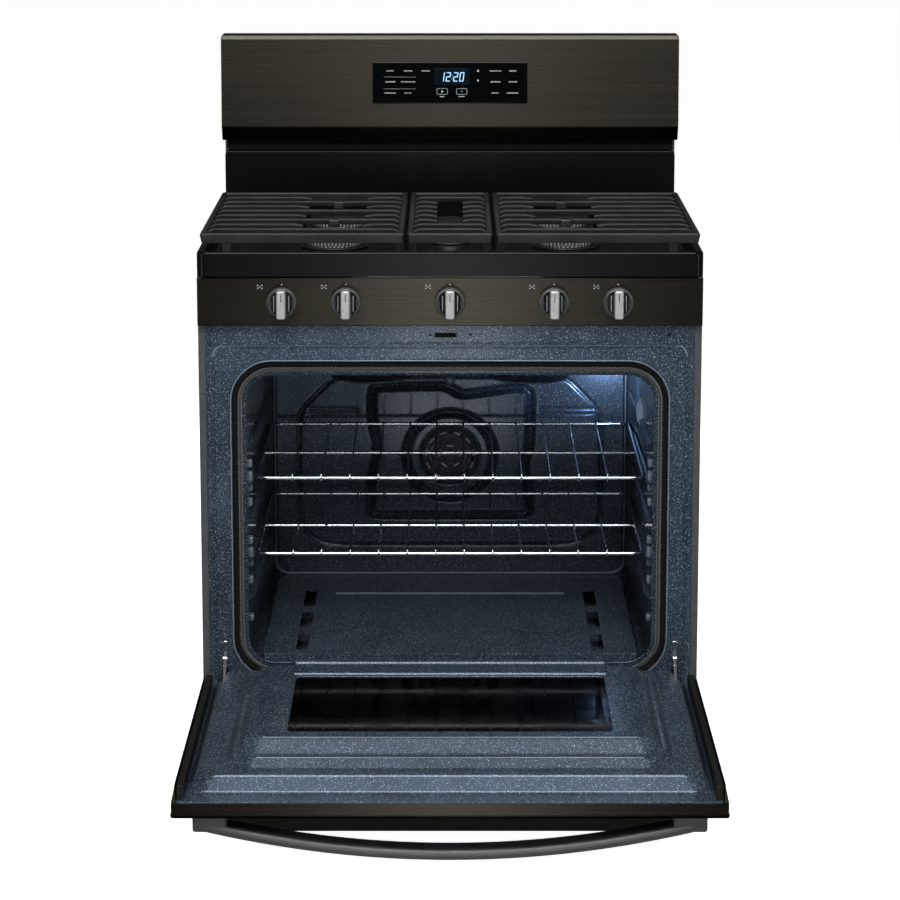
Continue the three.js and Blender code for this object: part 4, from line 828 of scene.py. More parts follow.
def grate(name, opening, broken, knots):
    """Two side rails, the front and back bars, the cross bars with open middles, and the feet."""
    lo, hi = box(f"grate_{name}")
    centre = (lo[0] + hi[0]) / 2 if name == "center" else math.copysign(SIDE_BURNERS_X, lo[0])
    pitch = (hi[1] - lo[1] - BAR[0]) / (BARS - 1)
    z = hi[2]
    rail, slim = bar_section(*BAR), bar_section(BAR[0] - 1, BAR[1] - 6)
    solids = []
    for x in (lo[0] + BAR[0] / 2, hi[0] - BAR[0] / 2):
        path = [[x, lo[1] + 0.5, z - 3], [x, lo[1] + 3, z - 0.6], [x, lo[1] + 8, z],
                [x, hi[1] - 8, z], [x, hi[1] - 3, z - 0.6], [x, hi[1] - 0.5, z - 3]]
        solids.append(bar(path, rail, scale=[0.9, 1, 1, 1, 1, 0.9]))
    for i in range(BARS):
        y = lo[1] + BAR[0] / 2 + i * pitch
        edge = i in (0, BARS - 1)
        ends = (0, 0) if edge else (1, 1)
        if i in broken:
            solids.append(grate_bar(lo[0] + 3, centre - opening / 2, y, z, (1, 0.35), slim))
            solids.append(grate_bar(centre + opening / 2, hi[0] - 3, y, z, (0.35, 1), slim))
        else:
            solids.append(grate_bar(lo[0] + 3, hi[0] - 3, y, z, ends, rail if edge else slim))
        if i in knots:
            solids.append(moved(block([-9, -9, -13], [9, 9, 0], 3), [centre, y, z]))
    for x in (max(lo[0], -HALF + 34), min(hi[0], HALF - 34)):
        step = 7 if x < centre else -7
        for y in (lo[1] + BAR[0] / 2 + pitch, lo[1] + BAR[0] / 2 + (BARS - 2) * pitch):
            solids.append(block([x + step - 7, y - 4, PAN_Z + 0.4], [x + step + 7, y + 4, z - 8], 1.5))
    piece(f"{name}_grate", merged(*solids), IRON, f"grate_{name}", [f"grate_{name}"], "grate_iron")


grate("left", 92, (2, 4, 6, 8), (3, 7))
grate("center", 40, (3, 4, 5, 6, 7), ())
grate("right", 92, (2, 4, 6, 8), (3, 7))

# ---------------------------------------------------------------- control panel and knobs

piece("panel_face", block(PANEL_LO, PANEL_HI, 1.4), BLACK_STAINLESS, replaces=["control_panel"],
      slot="black_stainless")


def knob(name):
    """A turned skirt, dark wings with a bright line down each, and a bright grip bar."""
    lo, hi = box(f"knob_{name}")
    x, z = (lo[0] + hi[0]) / 2, (lo[2] + hi[2]) / 2
    radius, back, front = (hi[0] - lo[0]) / 2, hi[1], lo[1]
    body = f"knob_{name}"
    skirt = lathe(rounded([[0, 0], [radius, 0], [radius, 8], [radius - 2.2, 12], [radius - 4, 12],
                           [radius - 5.5, 9.5], [0, 9.5]], [0, 1, 1.5, 1.5, 0.8, 1, 0], 4, False), 96)
    w, h = 6.8, 21.5
    reach = back - front
    wing = rounded([[-15.5, -12], [-w, -h + 1], [w, -h + 1], [15.5, -12], [15.5, 12], [w, h - 1],
                    [-w, h - 1], [-15.5, 12]], 4, 4)
    wings = skin([standing(wing * s, y) for s, y in ((1, -8), (1, -11), (0.9, -14.5), (0.6, -15.5))])
    grip = skin([standing(rectangle(-w + i, w - i, -h + i, h - i, 3 - i, 6), y) for i, y in
                 ((-0.4, -8), (0, -reach + 3), (0.35, -reach + 1), (1.2, -reach + 0.15), (2, -reach))])
    mark = block([-0.8, -reach - 0.02, 4], [0.8, -reach + 1, 17], 0.3)
    seat = [x, back, z]
    lines = [block([side * 11.3 - 0.6, -16.2, -12], [side * 11.3 + 0.6, -12, 12], 0.5)
             for side in (-1, 1)]
    piece(f"{name}_knob_skirt", moved(facing(skirt, "front"), seat), KNOB_GREY, body,
          [f"knob_{name}"], "knob_metal")
    piece(f"{name}_knob_wings", moved(wings, seat), KNOB_DARK, body, slot="knob_metal")
    piece(f"{name}_knob_grip", moved(merged(grip, *lines), seat), KNOB_BRIGHT, body,
          slot="knob_metal")
    piece(f"{name}_knob_mark", moved(mark, seat), DARK_GAP, body)
    dot = facing(lathe([[0, 0], [0.95, 0], [0.85, 0.25], [0, 0.25]], 16), "front")
    icon = [moved(dot, [x - 33 + dx, FACE, KNOB_Z + 22.5 + dz])
            for dx, dz in ((-3.2, 2.2), (3.2, 2.2), (-3.2, -2.2), (3.2, -2.2), (0, 0))]
    # the printed icon dots glow faintly: painted light
    piece(f"{name}_burner_icon", merged(*icon, moved(dot, [x, FACE, KNOB_Z + 26])), GLOWING_PRINT)


for name in BURNERS:
    knob(name)

# ---------------------------------------------------------------- oven frame and gasket


def seal_ring(margin, y):
    """The gasket's centre line grown by a margin, at depth y."""
    outline = rectangle(-GASKET_HALF - margin, GASKET_HALF + margin,
                        GASKET_BOTTOM - margin, GASKET_TOP + margin, 50 + margin, 14, 6)
    return standing(outline, y)


def oven_frame():
    """Rings from the frame's edge over a raised bead, in to the gasket's channel and round behind."""
    lo, hi = MOUTH_LO, MOUTH_HI
    y = FRAME_Y

    def edge(inset, r, depth, lower=0.0):
        """The frame's outline, drawn in, with its top lowered."""
        outline = rectangle(lo[0] + inset, hi[0] - inset, lo[2] + inset * 0.6,
                            hi[2] - inset - lower, r, 14, 6)
        return standing(outline, depth)

    rings = [edge(0.6, 2, y + 1.5), edge(0, 2, y + 1), edge(0.2, 2, y + 0.2), edge(0.8, 3, y)]
    rings += [edge(5.0, 12, y, 20), edge(6.2, 14, y - 1.3, 22), edge(7.4, 16, y - 1.3, 23.5),
              edge(8.4, 17, y, 23.5), edge(10.0, 18, y, 23), edge(11, 18, y - 1.3, 23),
              edge(12, 18, y - 1.3, 23), edge(13, 18, y, 23)]
    for margin, depth in ((18, 0), (15.4, -0.1), (14.0, -0.7), (12.8, -0.9), (11.6, -0.6), (11, 0.3),
                          (11, 7), (10.4, 8), (-7, 8), (-8.6, 7.4), (-9.6, 6.2), (-10.5, 6.6),
                          (-10.5, 9.5), (11, 9.5), (12, 1.5)):
        rings.append(seal_ring(margin, y + depth))
    return skin(rings, joined=True)


piece("oven_frame", oven_frame(), ENAMEL, replaces=["oven_front_frame"], slot="speckled_enamel")


def gasket():
    """A tube along the seal line: margins and depths follow an ellipse."""
    y = (GASKET_LO[1] + GASKET_HI[1]) / 2
    angle = np.arange(12) / 12 * 2 * math.pi
    return skin([seal_ring(0.72 * GASKET_R * math.cos(a) - 0.2 * GASKET_R, y + GASKET_R * math.sin(a))
                 for a in angle], joined=True)


piece("gasket_tube", gasket(), SEAL, replaces=["door_gasket"], slot="woven_gasket")


def channel_shadow():
    """A thin black ring in the channel's corner, outside the seal: painted shade."""
    angle = np.arange(8) / 8 * 2 * math.pi
    return skin([seal_ring(7.2 + 3.2 * math.cos(a), FRAME_Y + 3.8 + 2.8 * math.sin(a)) for a in angle],
                joined=True)


# black ring: painted shade in the seal's channel
piece("seal_channel_shade", channel_shadow(), DARK_GAP, slot="woven_gasket")


def disc(x, z, radius, height):
    """A low round button on the oven frame."""
    button = lathe(rounded([[0, 0], [radius, 0], [radius, height], [0, height * 1.2]],
                           [0, 0.1, height * 0.7, 0], 3, False), 24)
    return moved(facing(button, "front"), [x, FRAME_Y - 0.02, z])


LATCH_Z = MOUTH_HI[2] - 15
latch = skin([standing(rectangle(-23.5, 9.7, LATCH_Z - 4, LATCH_Z + 3, 1.5, 4), FRAME_Y - d)
              for d in (0.3, -0.5)])
holes = [disc(x, LATCH_Z, r, 0.25) for x, r in ((-29.5, 2), (30.6, 2.2), (330, 3.2))]
sockets = [block([x - 5, FRAME_Y - 0.4, HINGE_Z - 2], [x + 5, FRAME_Y + 1, HINGE_Z + 17], 0.3)
           for x in (-ARM_X, ARM_X)]
rivets = [disc(305, LATCH_Z, 3, 3), *[disc(x, HINGE_Z + 88, 5, 0.9) for x in (1 - ARM_X, ARM_X - 1)]]
# dark plates in the latch slot, the holes and the hinge sockets: painted shade inside these openings
piece("frame_openings", merged(latch, *holes, *sockets), DARK_GAP)
piece("frame_rivets", merged(*rivets), ENAMEL, slot="speckled_enamel")


def loop(x0, x1, z0, z1, r, y, radius, steps=12, sides=8):
    """A closed ring of round section, drawn in the front view: a rounded rectangle grown by radius
    times cos, at a depth moved by radius times sin."""
    return skin([standing(rectangle(x0 - g, x1 + g, z0 - g, z1 + g, r + g, steps, 8), y + depth)
                 for g, depth in circle(radius, sides)], joined=True)


def hinge_links():
    """At each hinge a wire loop set into the frame, over a rivet and a foot on the arm's sides."""
    rivet = lathe(rounded([[0, 0], [4, 0], [4, 8], [0, 8]], [0, 1.5, 1.5, 0], 3, False), 20)
    rivet = facing(moved(rivet, [0, 0, -4]), "right")
    made = []
    for x in (-ARM_X, ARM_X):
        made.append(loop(x - 4, x + 4, HINGE_Z + 42, HINGE_Z + 60, 3, FRAME_Y - 0.1, 1.1))
        made.append(moved(rivet, [x, FRAME_Y - 8, HINGE_Z + 35]))
        made.append(block([x - 3.4, FRAME_Y - 17, HINGE_Z + 19],
                          [x + 3.4, FRAME_Y - 6, HINGE_Z + 27], 1.2))
    return merged(*made)


# The beads are in lighter enamel: painted highlight lines round the frame.
outer_bead = loop(-ARM_X - 12, ARM_X + 12, HINGE_Z - 20, MOUTH_HI[2] - 31, 16, FRAME_Y + 0.2, 1.2)
inner_bead = loop(-GASKET_HALF - 13, GASKET_HALF + 13, GASKET_BOTTOM - 13, GASKET_TOP + 13, 63,
                  FRAME_Y - 0.5, 0.9)
piece("frame_beads", merged(outer_bead, inner_bead), HIGHLIGHT_ENAMEL, slot="speckled_enamel")
piece("hinge_links", hinge_links(), CHROME, slot="hinge_steel")

# ---------------------------------------------------------------- oven inside

BACK_Y = CAVITY_BACK + 0.3              # front plane of the back wall
BACK_HALF = CAVITY_HALF - 14            # the walls draw in towards the back
FAN_Z = (box("convection_fan")[0][2] + box("convection_fan")[1][2]) / 2


def wall_ring(half, top, bottom, r, y):
    """The oven's rounded outline at depth y."""
    return standing(rectangle(-half, half, bottom, top, r, 10, 8), y)


def oven_liner():
    """Rings from the mouth to the back, rounding into the back wall, and again round the outside."""
    h, t, b = CAVITY_HALF, CAVITY_TOP, CAVITY_BOTTOM
    back = BACK_Y
    inside = [
        wall_ring(h, t, b, 37, CAVITY_FRONT), wall_ring(h - 1, t - 1, b, 32, CAVITY_FRONT + 60),
        wall_ring(h - 5, t - 4, b, 28, back - 120), wall_ring(h - 9, t - 7, b + 2, 26, back - 30),
        wall_ring(h - 11, t - 9, b + 4, 25, back - 12), wall_ring(h - 15, t - 13, b + 8, 22, back - 3),
        wall_ring(h - 20, t - 18, b + 13, 18, back),
    ]
    outside = [
        wall_ring(h - 20, t - 18, b + 13, 18, back + 1.5),
        wall_ring(h + 1.5, t + 1.5, b - 1.5, 37, back),
        wall_ring(h + 1.5, t + 1.5, b - 1.5, 38, CAVITY_FRONT),
    ]
    return skin(inside + outside, joined=True)


piece("oven_liner", oven_liner(), ENAMEL,
      replaces=["oven_wall_left", "oven_wall_right", "oven_ceiling"], slot="speckled_enamel")


def distance_to_path(x, z, path):
    """Shortest distance from each (x, z) to a polyline, as arrays over its segments."""
    p = np.stack([x, z], -1)[..., None, :]
    a, b = np.asarray(path[:-1], float), np.asarray(path[1:], float)
    ab = b - a
    t = np.clip(((p - a) * ab).sum(-1) / (ab ** 2).sum(-1), 0, 1)
    return np.linalg.norm(p - (a + t[..., None] * ab), axis=-1).min(-1)


def back_wall():
    """A pressed sheet: its depth at (x, z) is a channel round the fan, a fine border line and a
    raised ring, each a smooth step of the distance to its own path."""
    h, t, b = BACK_HALF - 2, CAVITY_TOP - 15, CAVITY_BOTTOM + 10
    x, z = np.meshgrid(np.linspace(-h, h, 236), np.linspace(b, t, 180))
    channel = rounded([[-131, 446 + 162], [-3, 610], [18, 594], [120, 608], [136, 599], [134, 502],
                       [122, 470], [132, 440], [134, 392], [120, 388], [-120, 388], [-134, 392],
                       [-133, 446], [-120, 502], [-131, 552]], 14, 5)
    channel = np.concatenate([channel, channel[:1]])
    border = rounded([[-194, 626], [194, 626], [253, 566], [255, 368], [215, 337], [-215, 337],
                      [-255, 368], [-253, 566]], [20, 20, 20, 45, 30, 30, 45, 20], 6)
    border = np.concatenate([border, border[:1]])
    depth = 8.0 * (1 - smooth_step(distance_to_path(x, z, channel), 0.5, 8.5))
    depth += 2.2 * (1 - smooth_step(distance_to_path(x, z, border), 1.2, 3.5))
    r = np.hypot(x, z - FAN_Z)
    depth += 7.0 * (1 - smooth_step(np.abs(r - 73.5), 0.5, 8))
    depth += 3.0 * (1 - smooth_step(r, 46, 52))
    for level in (571, 562):
        depth += 1.2 * (1 - smooth_step(np.abs(z - level), 0.8, 2.2)) * (1 - smooth_step(
            np.abs(x), 236, 246)) * smooth_step(np.abs(x), 150, 160)
    front = np.stack([x, BACK_Y - 0.6 + depth, z], -1)
    n, m = x.shape
    i, j = np.meshgrid(np.arange(n - 1), np.arange(m - 1), indexing="ij")
    a = i * m + j
    quads = np.stack([a, a + 1, a + m + 1, a + m], -1).reshape(-1, 4)
    centre_r = np.hypot(x, z - FAN_Z).ravel()[quads].mean(1)
    quads = quads[centre_r > 45]
    return front.reshape(-1, 3), quads.tolist()


def solid_sheet(name, solid, thickness_mm, material, **ties):
    """An open sheet, thickened backwards by Solidify."""
    obj = piece(name, solid, material, weighted=False, **ties)
    wall = obj.modifiers.new("thickness", "SOLIDIFY")
    wall.thickness = thickness_mm * MM
    wall.offset = -1


solid_sheet("oven_back_panel", back_wall(), 1.0, ENAMEL, replaces=["oven_back_wall"],
            slot="speckled_enamel")


def fan_grille():
    """A dished disc on a polar grid of rings and sectors. Cells of every second ring are left out in
    turn, which leaves rows of air slots."""
    rings, sectors = 14, 72
    r = np.linspace(2, 47, rings + 1)
    angle = np.arange(sectors) / sectors * 2 * math.pi
    rr, aa = np.meshgrid(r, angle, indexing="ij")
    y = BACK_Y + 1.4 - 6 * (1 - (rr / 47) ** 2)
    points = np.stack([rr * np.cos(aa), y, FAN_Z + rr * np.sin(aa)], -1).reshape(-1, 3)
    i, j = np.meshgrid(np.arange(rings), np.arange(sectors), indexing="ij")
    a, b = i * sectors + j, i * sectors + (j + 1) % sectors
    quads = np.stack([a, a + sectors, b + sectors, b], -1)
    slot = (i % 2 == 1) & (i < rings - 1) & ((j + 3 * (i // 2)) % 6 < 4)
    return points, quads[~slot].tolist() + [list(range(sectors))]


solid_sheet("fan_grille", fan_grille(), 1.0, GRILLE, slot="speckled_enamel")


def grille_glints():
    """Short raised edges beside the air slots, in two rings about the middle, pale as painted glints.
    """
    made = []
    for radius, count in ((18, 5), (40, 11)):
        for k in range(count):
            a = 2 * math.pi * (k + 0.25) / count + np.linspace(-5, 5, 4) / radius
            y = BACK_Y - 6 * (1 - (radius / 47) ** 2) - 0.6
            path = np.stack([radius * np.cos(a), np.full(4, y), FAN_Z + radius * np.sin(a)], -1)
            made.append(wire(path, 1.6, up=(0, 1, 0), sides=6))
    return merged(*made)


# pale tabs: painted glints on the fan grille
piece("grille_glints", grille_glints(), GRILLE_GLINT_WHITE, slot="speckled_enamel")


def guide_ribs():
    """Pressed ledges on both walls, one pair for each level, that carry the racks."""
    rack = box("oven_rack_lower")
    lowest = CAVITY_BOTTOM + 110
    pitch = (CAVITY_TOP - 116 - lowest) / 4
    section = rounded([[-4, -4], [4.5, -1], [4.5, 2], [-4, 6]], [0.5, 2, 2, 0.5], 4)
    made = []
    for side in (-1, 1):
        for level in range(5):
            z = lowest + level * pitch
            x = side * (CAVITY_HALF - 3)
            path = [[x + side * 4, 40 + FACE, z], [x, 56 + FACE, z], [x - side, 300 + FACE, z],
                    [x - side * 5, rack[1][1] + 8, z], [x - side * 2, rack[1][1] + 22, z]]
            made.append(bar(path, section * [side * -1, 1]))
    return merged(*made)


piece("rack_guides", guide_ribs(), ENAMEL, slot="speckled_enamel")


def wall_pads():
    """Rounded pads pressed into both walls near the mouth: one at each rack level, and taller stops.
    Their lighter enamel paints glints on them.
    """
    made = []
    for side in (-1, 1):
        for z, tall in ((577, 6), (549, 15), (516, 6), (456, 6), (430, 15), (393, 6), (333, 5)):
            x0, x1 = sorted((side * (CAVITY_HALF + 1), side * (CAVITY_HALF - 5)))
            made.append(block([x0, FACE + 52, z - tall], [x1, FACE + 66, z + tall], 2.6, 4))
    return merged(*made)


piece("wall_pads", wall_pads(), HIGHLIGHT_ENAMEL, slot="speckled_enamel")
# the rounded step where the walls meet the back, its lighter enamel a painted highlight
corner_bead = loop(-BACK_HALF, BACK_HALF, FLOOR_Z + 2, CAVITY_TOP - 14, 24, BACK_Y - 3, 2.2, 10, 10)
piece("corner_bead", corner_bead, HIGHLIGHT_ENAMEL, slot="speckled_enamel")
# a wire across the oven floor in lighter enamel: a painted highlight line
ledge = wire([[x, FACE + 371, FLOOR_Z + 0.6] for x in (-188, 0, 188)], 1.3)
piece("floor_ledge", ledge, HIGHLIGHT_ENAMEL, slot="speckled_enamel")
sill = block([-CAVITY_HALF + 22, CAVITY_FRONT + 0.2, FLOOR_Z - 22],
             [CAVITY_HALF - 22, CAVITY_FRONT + 1.6, FLOOR_Z - 0.2], 0.6)
piece("floor_sill", sill, ENAMEL, slot="speckled_enamel")
finish_cad(ENAMEL, "oven_floor_panel")


def broiler():
    """Two dished round shields under the ceiling, a burner tube between them, and its bracket."""
    lo, hi = box("broil_burner")
    y = FACE + 205
    z = lo[2] - 1.5
    dish = lathe(rounded([[0, 4], [40, 3], [54, 0], [62, 0.6], [64, 4], [0, 7]], [0, 8, 5, 1, 1, 0], 4,
                         False), 64)
    tube = wire([[0, lo[1], hi[2] - 8], [0, (lo[1] + hi[1]) / 2, hi[2] - 8], [0, hi[1], hi[2] - 8]],
                8, sides=24)
    strap = block([-124, y - 12, z + 6], [124, y + 12, z + 8], 0.8)
    posts = [block([x - 6, y - 6, z + 6], [x + 6, y + 6, CAVITY_TOP - 6], 1) for x in (-60, 60)]
    return merged(moved(dish, [-124, y, z]), moved(dish, [124, y, z]), tube, strap, *posts)


piece("broil_shields", broiler(), ENAMEL, replaces=["broil_burner"], slot="galvanised_steel")

LAMP_LO, LAMP_HI = box("oven_lamp")
LAMP_AT = (LAMP_LO + LAMP_HI) / 2
lens = lathe(rounded([[0, 0], [22, 0], [22, 3], [15, 8], [0, 10]], [0, 1, 2, 4, 0], 5, False), 48)
piece("lamp_lens", moved(facing(lens, "left"), [LAMP_HI[0] - 2, LAMP_AT[1], LAMP_AT[2]]), LAMP,
      replaces=["oven_lamp"], slot="lamp_glass")


def rack(name):
    """Round wires: a frame bent at its corners, a rod across, and wires from front to back whose
    ends turn down over the front rail."""
    lo, hi = box(f"oven_rack_{name}")
    z = hi[2] - 1.5
    frame_path = lying(rounded([[lo[0] + 3, lo[1] + 3], [hi[0] - 3, lo[1] + 3], [hi[0] - 3, hi[1] - 3],
                                [lo[0] + 3, hi[1] - 3]], 18, 6), z - 4.5 + 1.5)
    outline = circle(3, 10)
    nxt = np.roll(frame_path, -1, 0) - np.roll(frame_path, 1, 0)
    nxt /= np.linalg.norm(nxt, axis=1, keepdims=True)
    side = np.cross(nxt, [0, 0, 1])
    hoop = skin(frame_path[:, None] + outline[None, :, :1] * side[:, None]
                + outline[None, :, 1:] * np.array([0, 0, 1.0]), joined=True)
    middle = lo[1] + (hi[1] - lo[1]) * 0.45
    rods = [wire([[lo[0] + 3, middle, z - 3], [0, middle, z - 3], [hi[0] - 3, middle, z - 3]], 2.6)]
    pitch = 44.0
    for i in range(12):
        x = (i - 5.5) * pitch
        path = rounded([[x, lo[1] + 0.2, z - 7], [x, lo[1] + 0.2, z + 0.6], [x, hi[1] - 1.5, z + 0.6]],
                       [0, 3, 0], 5, closed=False)
        rods.append(wire(path, 1.5, up=(1, 0, 0), sides=8))
        rods.append(moved(block([-1.7, -2.6, -2], [1.7, 2.6, 3.4], 1.3), [x, lo[1] + 2.8, z]))
    return merged(hoop, *rods)


for name in ("lower", "upper"):
    piece(f"{name}_rack", rack(name), CHROME, f"rack_{name}", [f"oven_rack_{name}"], "rack_chrome")

# ---------------------------------------------------------------- door

WALL_INSET = 6.0                        # side walls stand in from the face's ends


def door_skin():
    """Rings from the window's edge over the face and round the edges. The sides stand higher than the
    ends, so the depth of the last rings changes round the door."""
    window = box("door_outer_glass")
    glass = (window[0][0], window[1][0],
             HINGE_Z + HINGE_Y - window[1][1], HINGE_Z + HINGE_Y - window[0][1])

    def edge(inset, r, y=None, wall=0.0):
        """The door's outline, drawn in. The side walls move in by wall, and reach the seal if no depth
        is given."""
        outline = rectangle(-HALF + inset, HALF - inset, DOOR_BOTTOM + inset, DOOR_TOP - inset,
                            r, 5, 24)
        high = (np.abs(outline[:, 0]) > HALF - inset - 0.6) & (outline[:, 1] > HINGE_Z + 20)
        if y is None:
            y = np.where(high, SEAL_Y, RIM_Y - 2)
        ring = standing(outline, y)
        ring[:, 0] -= np.where(high, wall, 0) * np.sign(ring[:, 0])
        return ring

    def pane(margin, y):
        """The window's outline grown by a margin."""
        outline = rectangle(glass[0] - margin, glass[1] + margin, glass[2] - margin,
                            glass[3] + margin, 10 + margin, 5, 24)
        return standing(outline, y)

    rings = [pane(0.3, DOOR_FRONT + 1.5), pane(0.3, DOOR_FRONT + 0.3), pane(0.8, DOOR_FRONT),
             pane(2, DOOR_FRONT), edge(6, 2, DOOR_FRONT), edge(3, 2.6, DOOR_FRONT),
             edge(0.9, 3, DOOR_FRONT + 0.8), edge(0, 3, DOOR_FRONT + 3), edge(0, 3, DOOR_FRONT + 6),
             edge(0, 3, DOOR_FRONT + 7, WALL_INSET), edge(0, 3, wall=WALL_INSET),
             edge(1.2, 2, wall=WALL_INSET), edge(1.2, 2, DOOR_FRONT + 9, WALL_INSET),
             edge(1.2, 2, DOOR_FRONT + 3),
             edge(3, 2, DOOR_FRONT + 1.5), pane(2, DOOR_FRONT + 1.5)]
    return skin(rings, joined=True)


piece("door_shell", opened(door_skin()), BLACK_STAINLESS, "door", ["door_skin"], "black_stainless")

LINER_HALF = HALF - WALL_INSET - 2.4
# half-width, top, bottom, corner radius, depth and rounding of each fold of the liner
FOLDS = np.array([
    [LINER_HALF, DOOR_TOP - 0.5, DOOR_BOTTOM + 0.5, 3, RIM_Y - 1.5, 0.5],
    [LINER_HALF, DOOR_TOP, DOOR_BOTTOM, 3, RIM_Y, 1],
    [LINER_HALF - 11, DOOR_TOP - 35, HINGE_Z - 8, 26, RIM_Y, 5],
    [LINER_HALF - 23, DOOR_TOP - 48, HINGE_Z + 3, 30, SEAL_Y, 6],
    [GASKET_HALF - 9, GASKET_TOP - 9, GASKET_BOTTOM + 19, 40, SEAL_Y, 4],
    [CAVITY_HALF - 7, CAVITY_TOP - 13, GASKET_BOTTOM + 30, 34, SEAL_Y + 11, 3],
    [CAVITY_HALF - 12, CAVITY_TOP - 29, GASKET_BOTTOM + 37, 30, SEAL_Y + 10, 3],
    [CAVITY_HALF - 24, CAVITY_TOP - 54, GASKET_BOTTOM + 53, 24, PLATEAU_Y, 6],
    [CAVITY_HALF - 80, CAVITY_TOP - 81, GASKET_BOTTOM + 111, 10, PLATEAU_Y, 2],
    [CAVITY_HALF - 80, CAVITY_TOP - 81, GASKET_BOTTOM + 111, 10, PLATEAU_Y - 3, 0.5],
])


def door_liner():
    """Rings from the rim to the window. Each fold is rounded by the same parabola as a corner, worked
    out on half-width, top, bottom, corner radius and depth at once."""
    folds = rounded(FOLDS[:, :5], FOLDS[:, 5], 5, closed=False)
    rings = [standing(rectangle(-half, half, bottom, top, r, 12, 10), y)
             for half, top, bottom, r, y in folds]
    return skin([*rings, *[ring - [0, 1.4, 0] for ring in rings[::-1]]], joined=True)


# clear of the hinge arms when the door is closed
pockets = [block([x - 5.6, DOOR_FRONT + 6, HINGE_Z - 6], [x + 5.6, SEAL_Y + 6, HINGE_Z + 60], 2)
           for x in (-ARM_X, ARM_X)]
piece("door_lining", opened(carved(door_liner(), *pockets)), ENAMEL, "door", ["door_liner"],
      "speckled_enamel")


def liner_ridges():
    """Two pressed bars beside the window, as wide as it is, on the hinge side."""
    bars = [tablet(-236, 236, z0, z1, -PLATEAU_Y - 3.6, -PLATEAU_Y + 1, 5, 4.4)
            for z0, z1 in ((HINGE_Z + 43, HINGE_Z + 61), (HINGE_Z + 71, HINGE_Z + 119))]
    points, faces = merged(*bars)
    return outward(points * [1, -1, 1], faces)


def door_rails():
    """Black strips that fill the gap between the lining and the side walls, nearly to their tops."""
    middle = LINER_HALF - 4.6
    return merged(*[block([side * middle - 4.4, RIM_Y - 0.2, HINGE_Z + 20],
                          [side * middle + 4.4, SEAL_Y - 2.5, DOOR_TOP - 6], 0.8) for side in (-1, 1)])


def lining_highlights():
    """Along the top of each inner fold, a fine line in lighter enamel: a painted highlight."""
    lines = [wire([[x, y - 0.25, top - 0.3] for x in (r - half, 0, half - r)], 0.8, sides=6)
             for half, top, _, r, y in FOLDS[4:8, :5]]
    return merged(*lines)


# fine lines in lighter enamel: painted highlights on the lining's folds
piece("lining_highlights", opened(lining_highlights()), HIGHLIGHT_ENAMEL, "door", slot="speckled_enamel")
piece("lining_ridges", opened(liner_ridges()), ENAMEL, "door", slot="speckled_enamel")
piece("door_rails", opened(door_rails()), BLACK_PAINT_AND_SHADE, "door", slot="black_stainless")
finish_cad(WINDOW_GLASS, "door_inner_glass", "door_outer_glass")


def handle():
    """A flat bar bowed out from the door: its distance from the door's face falls with the square of
    x, and each end turns in to a broad post."""
    lo, hi = box("door_handle")
    end = hi[0]
    reach = (hi[2] - lo[2]) + 0.3
    z = HINGE_Z + HINGE_Y - (lo[1] + hi[1]) / 2
    height = hi[1] - lo[1]
    x = np.linspace(-end + 7, end - 7, 61)
    out = 33 + (reach - 33) * (1 - (x / end) ** 2)
    path = np.stack([x, DOOR_FRONT - out + 8.5, np.full(61, z)], -1)
    section = rounded([[-8.5, -height / 2], [8.5, -height / 2], [8.5, height / 2], [-8.5, height / 2]],
                      [8, 8, 8, 8], 6)
    grip = bar(path, section, scale=np.where(np.arange(61) % 60 == 0, 0.97, 1))
    posts = []
    for side in (-1, 1):
        x0, x1 = sorted((side * (end - 47), side * end))
        posts.append(block([x0, DOOR_FRONT - 37, z - height / 2 + 0.6],
                           [x1, DOOR_FRONT - 0.3, z + height / 2 - 0.6], 4, 5))
    return merged(grip, *posts)


# the handle's lighter grey paints light where the open door shades it
piece("handle_bar", opened(handle()), HANDLE_METAL, "door", ["door_handle"], "handle_steel")
finish_cad(HINGE_STEEL, "hinge_arm_left", "hinge_arm_right")

# ---------------------------------------------------------------- drawer and casing


def drawer_face():
    """A shallow tray: rounded front views drawn in at the front edge, and open behind."""
    lo, hi = box("drawer_front")
    rings = [standing(rectangle(lo[0] + i, hi[0] - i, lo[2] + i, hi[2] - i, r, 6), lo[1] + d)
             for i, r, d in ((5, 2, 0), (3.2, 3, 0.1), (0.9, 4, 1), (0, 4, 3.2))]
    rings += [standing(rectangle(lo[0] + i, hi[0] - i, lo[2] + i, hi[2] - i, 4 - i, 6), y)
              for i, y in ((0, hi[1]), (1.5, hi[1]), (1.5, lo[1] + 3), (3, lo[1] + 1.5))]
    return skin(rings)


# the drawer front is near-black: painted shade under the open door
piece("drawer_face", drawer_face(), BLACK_PAINT_AND_SHADE, "drawer", ["drawer_front"], "drawer_paint")


def hex_head(x, z, y):
    """A low hexagonal screw head with a washer, on the back."""
    head = lathe([[0, 0], [6.5, 0], [6.2, 0.2], [4.6, 0.2], [4.4, 0.6], [3.8, 0.75], [0, 0.75]], 6)
    return moved(facing(head, "back"), [x, y, z])


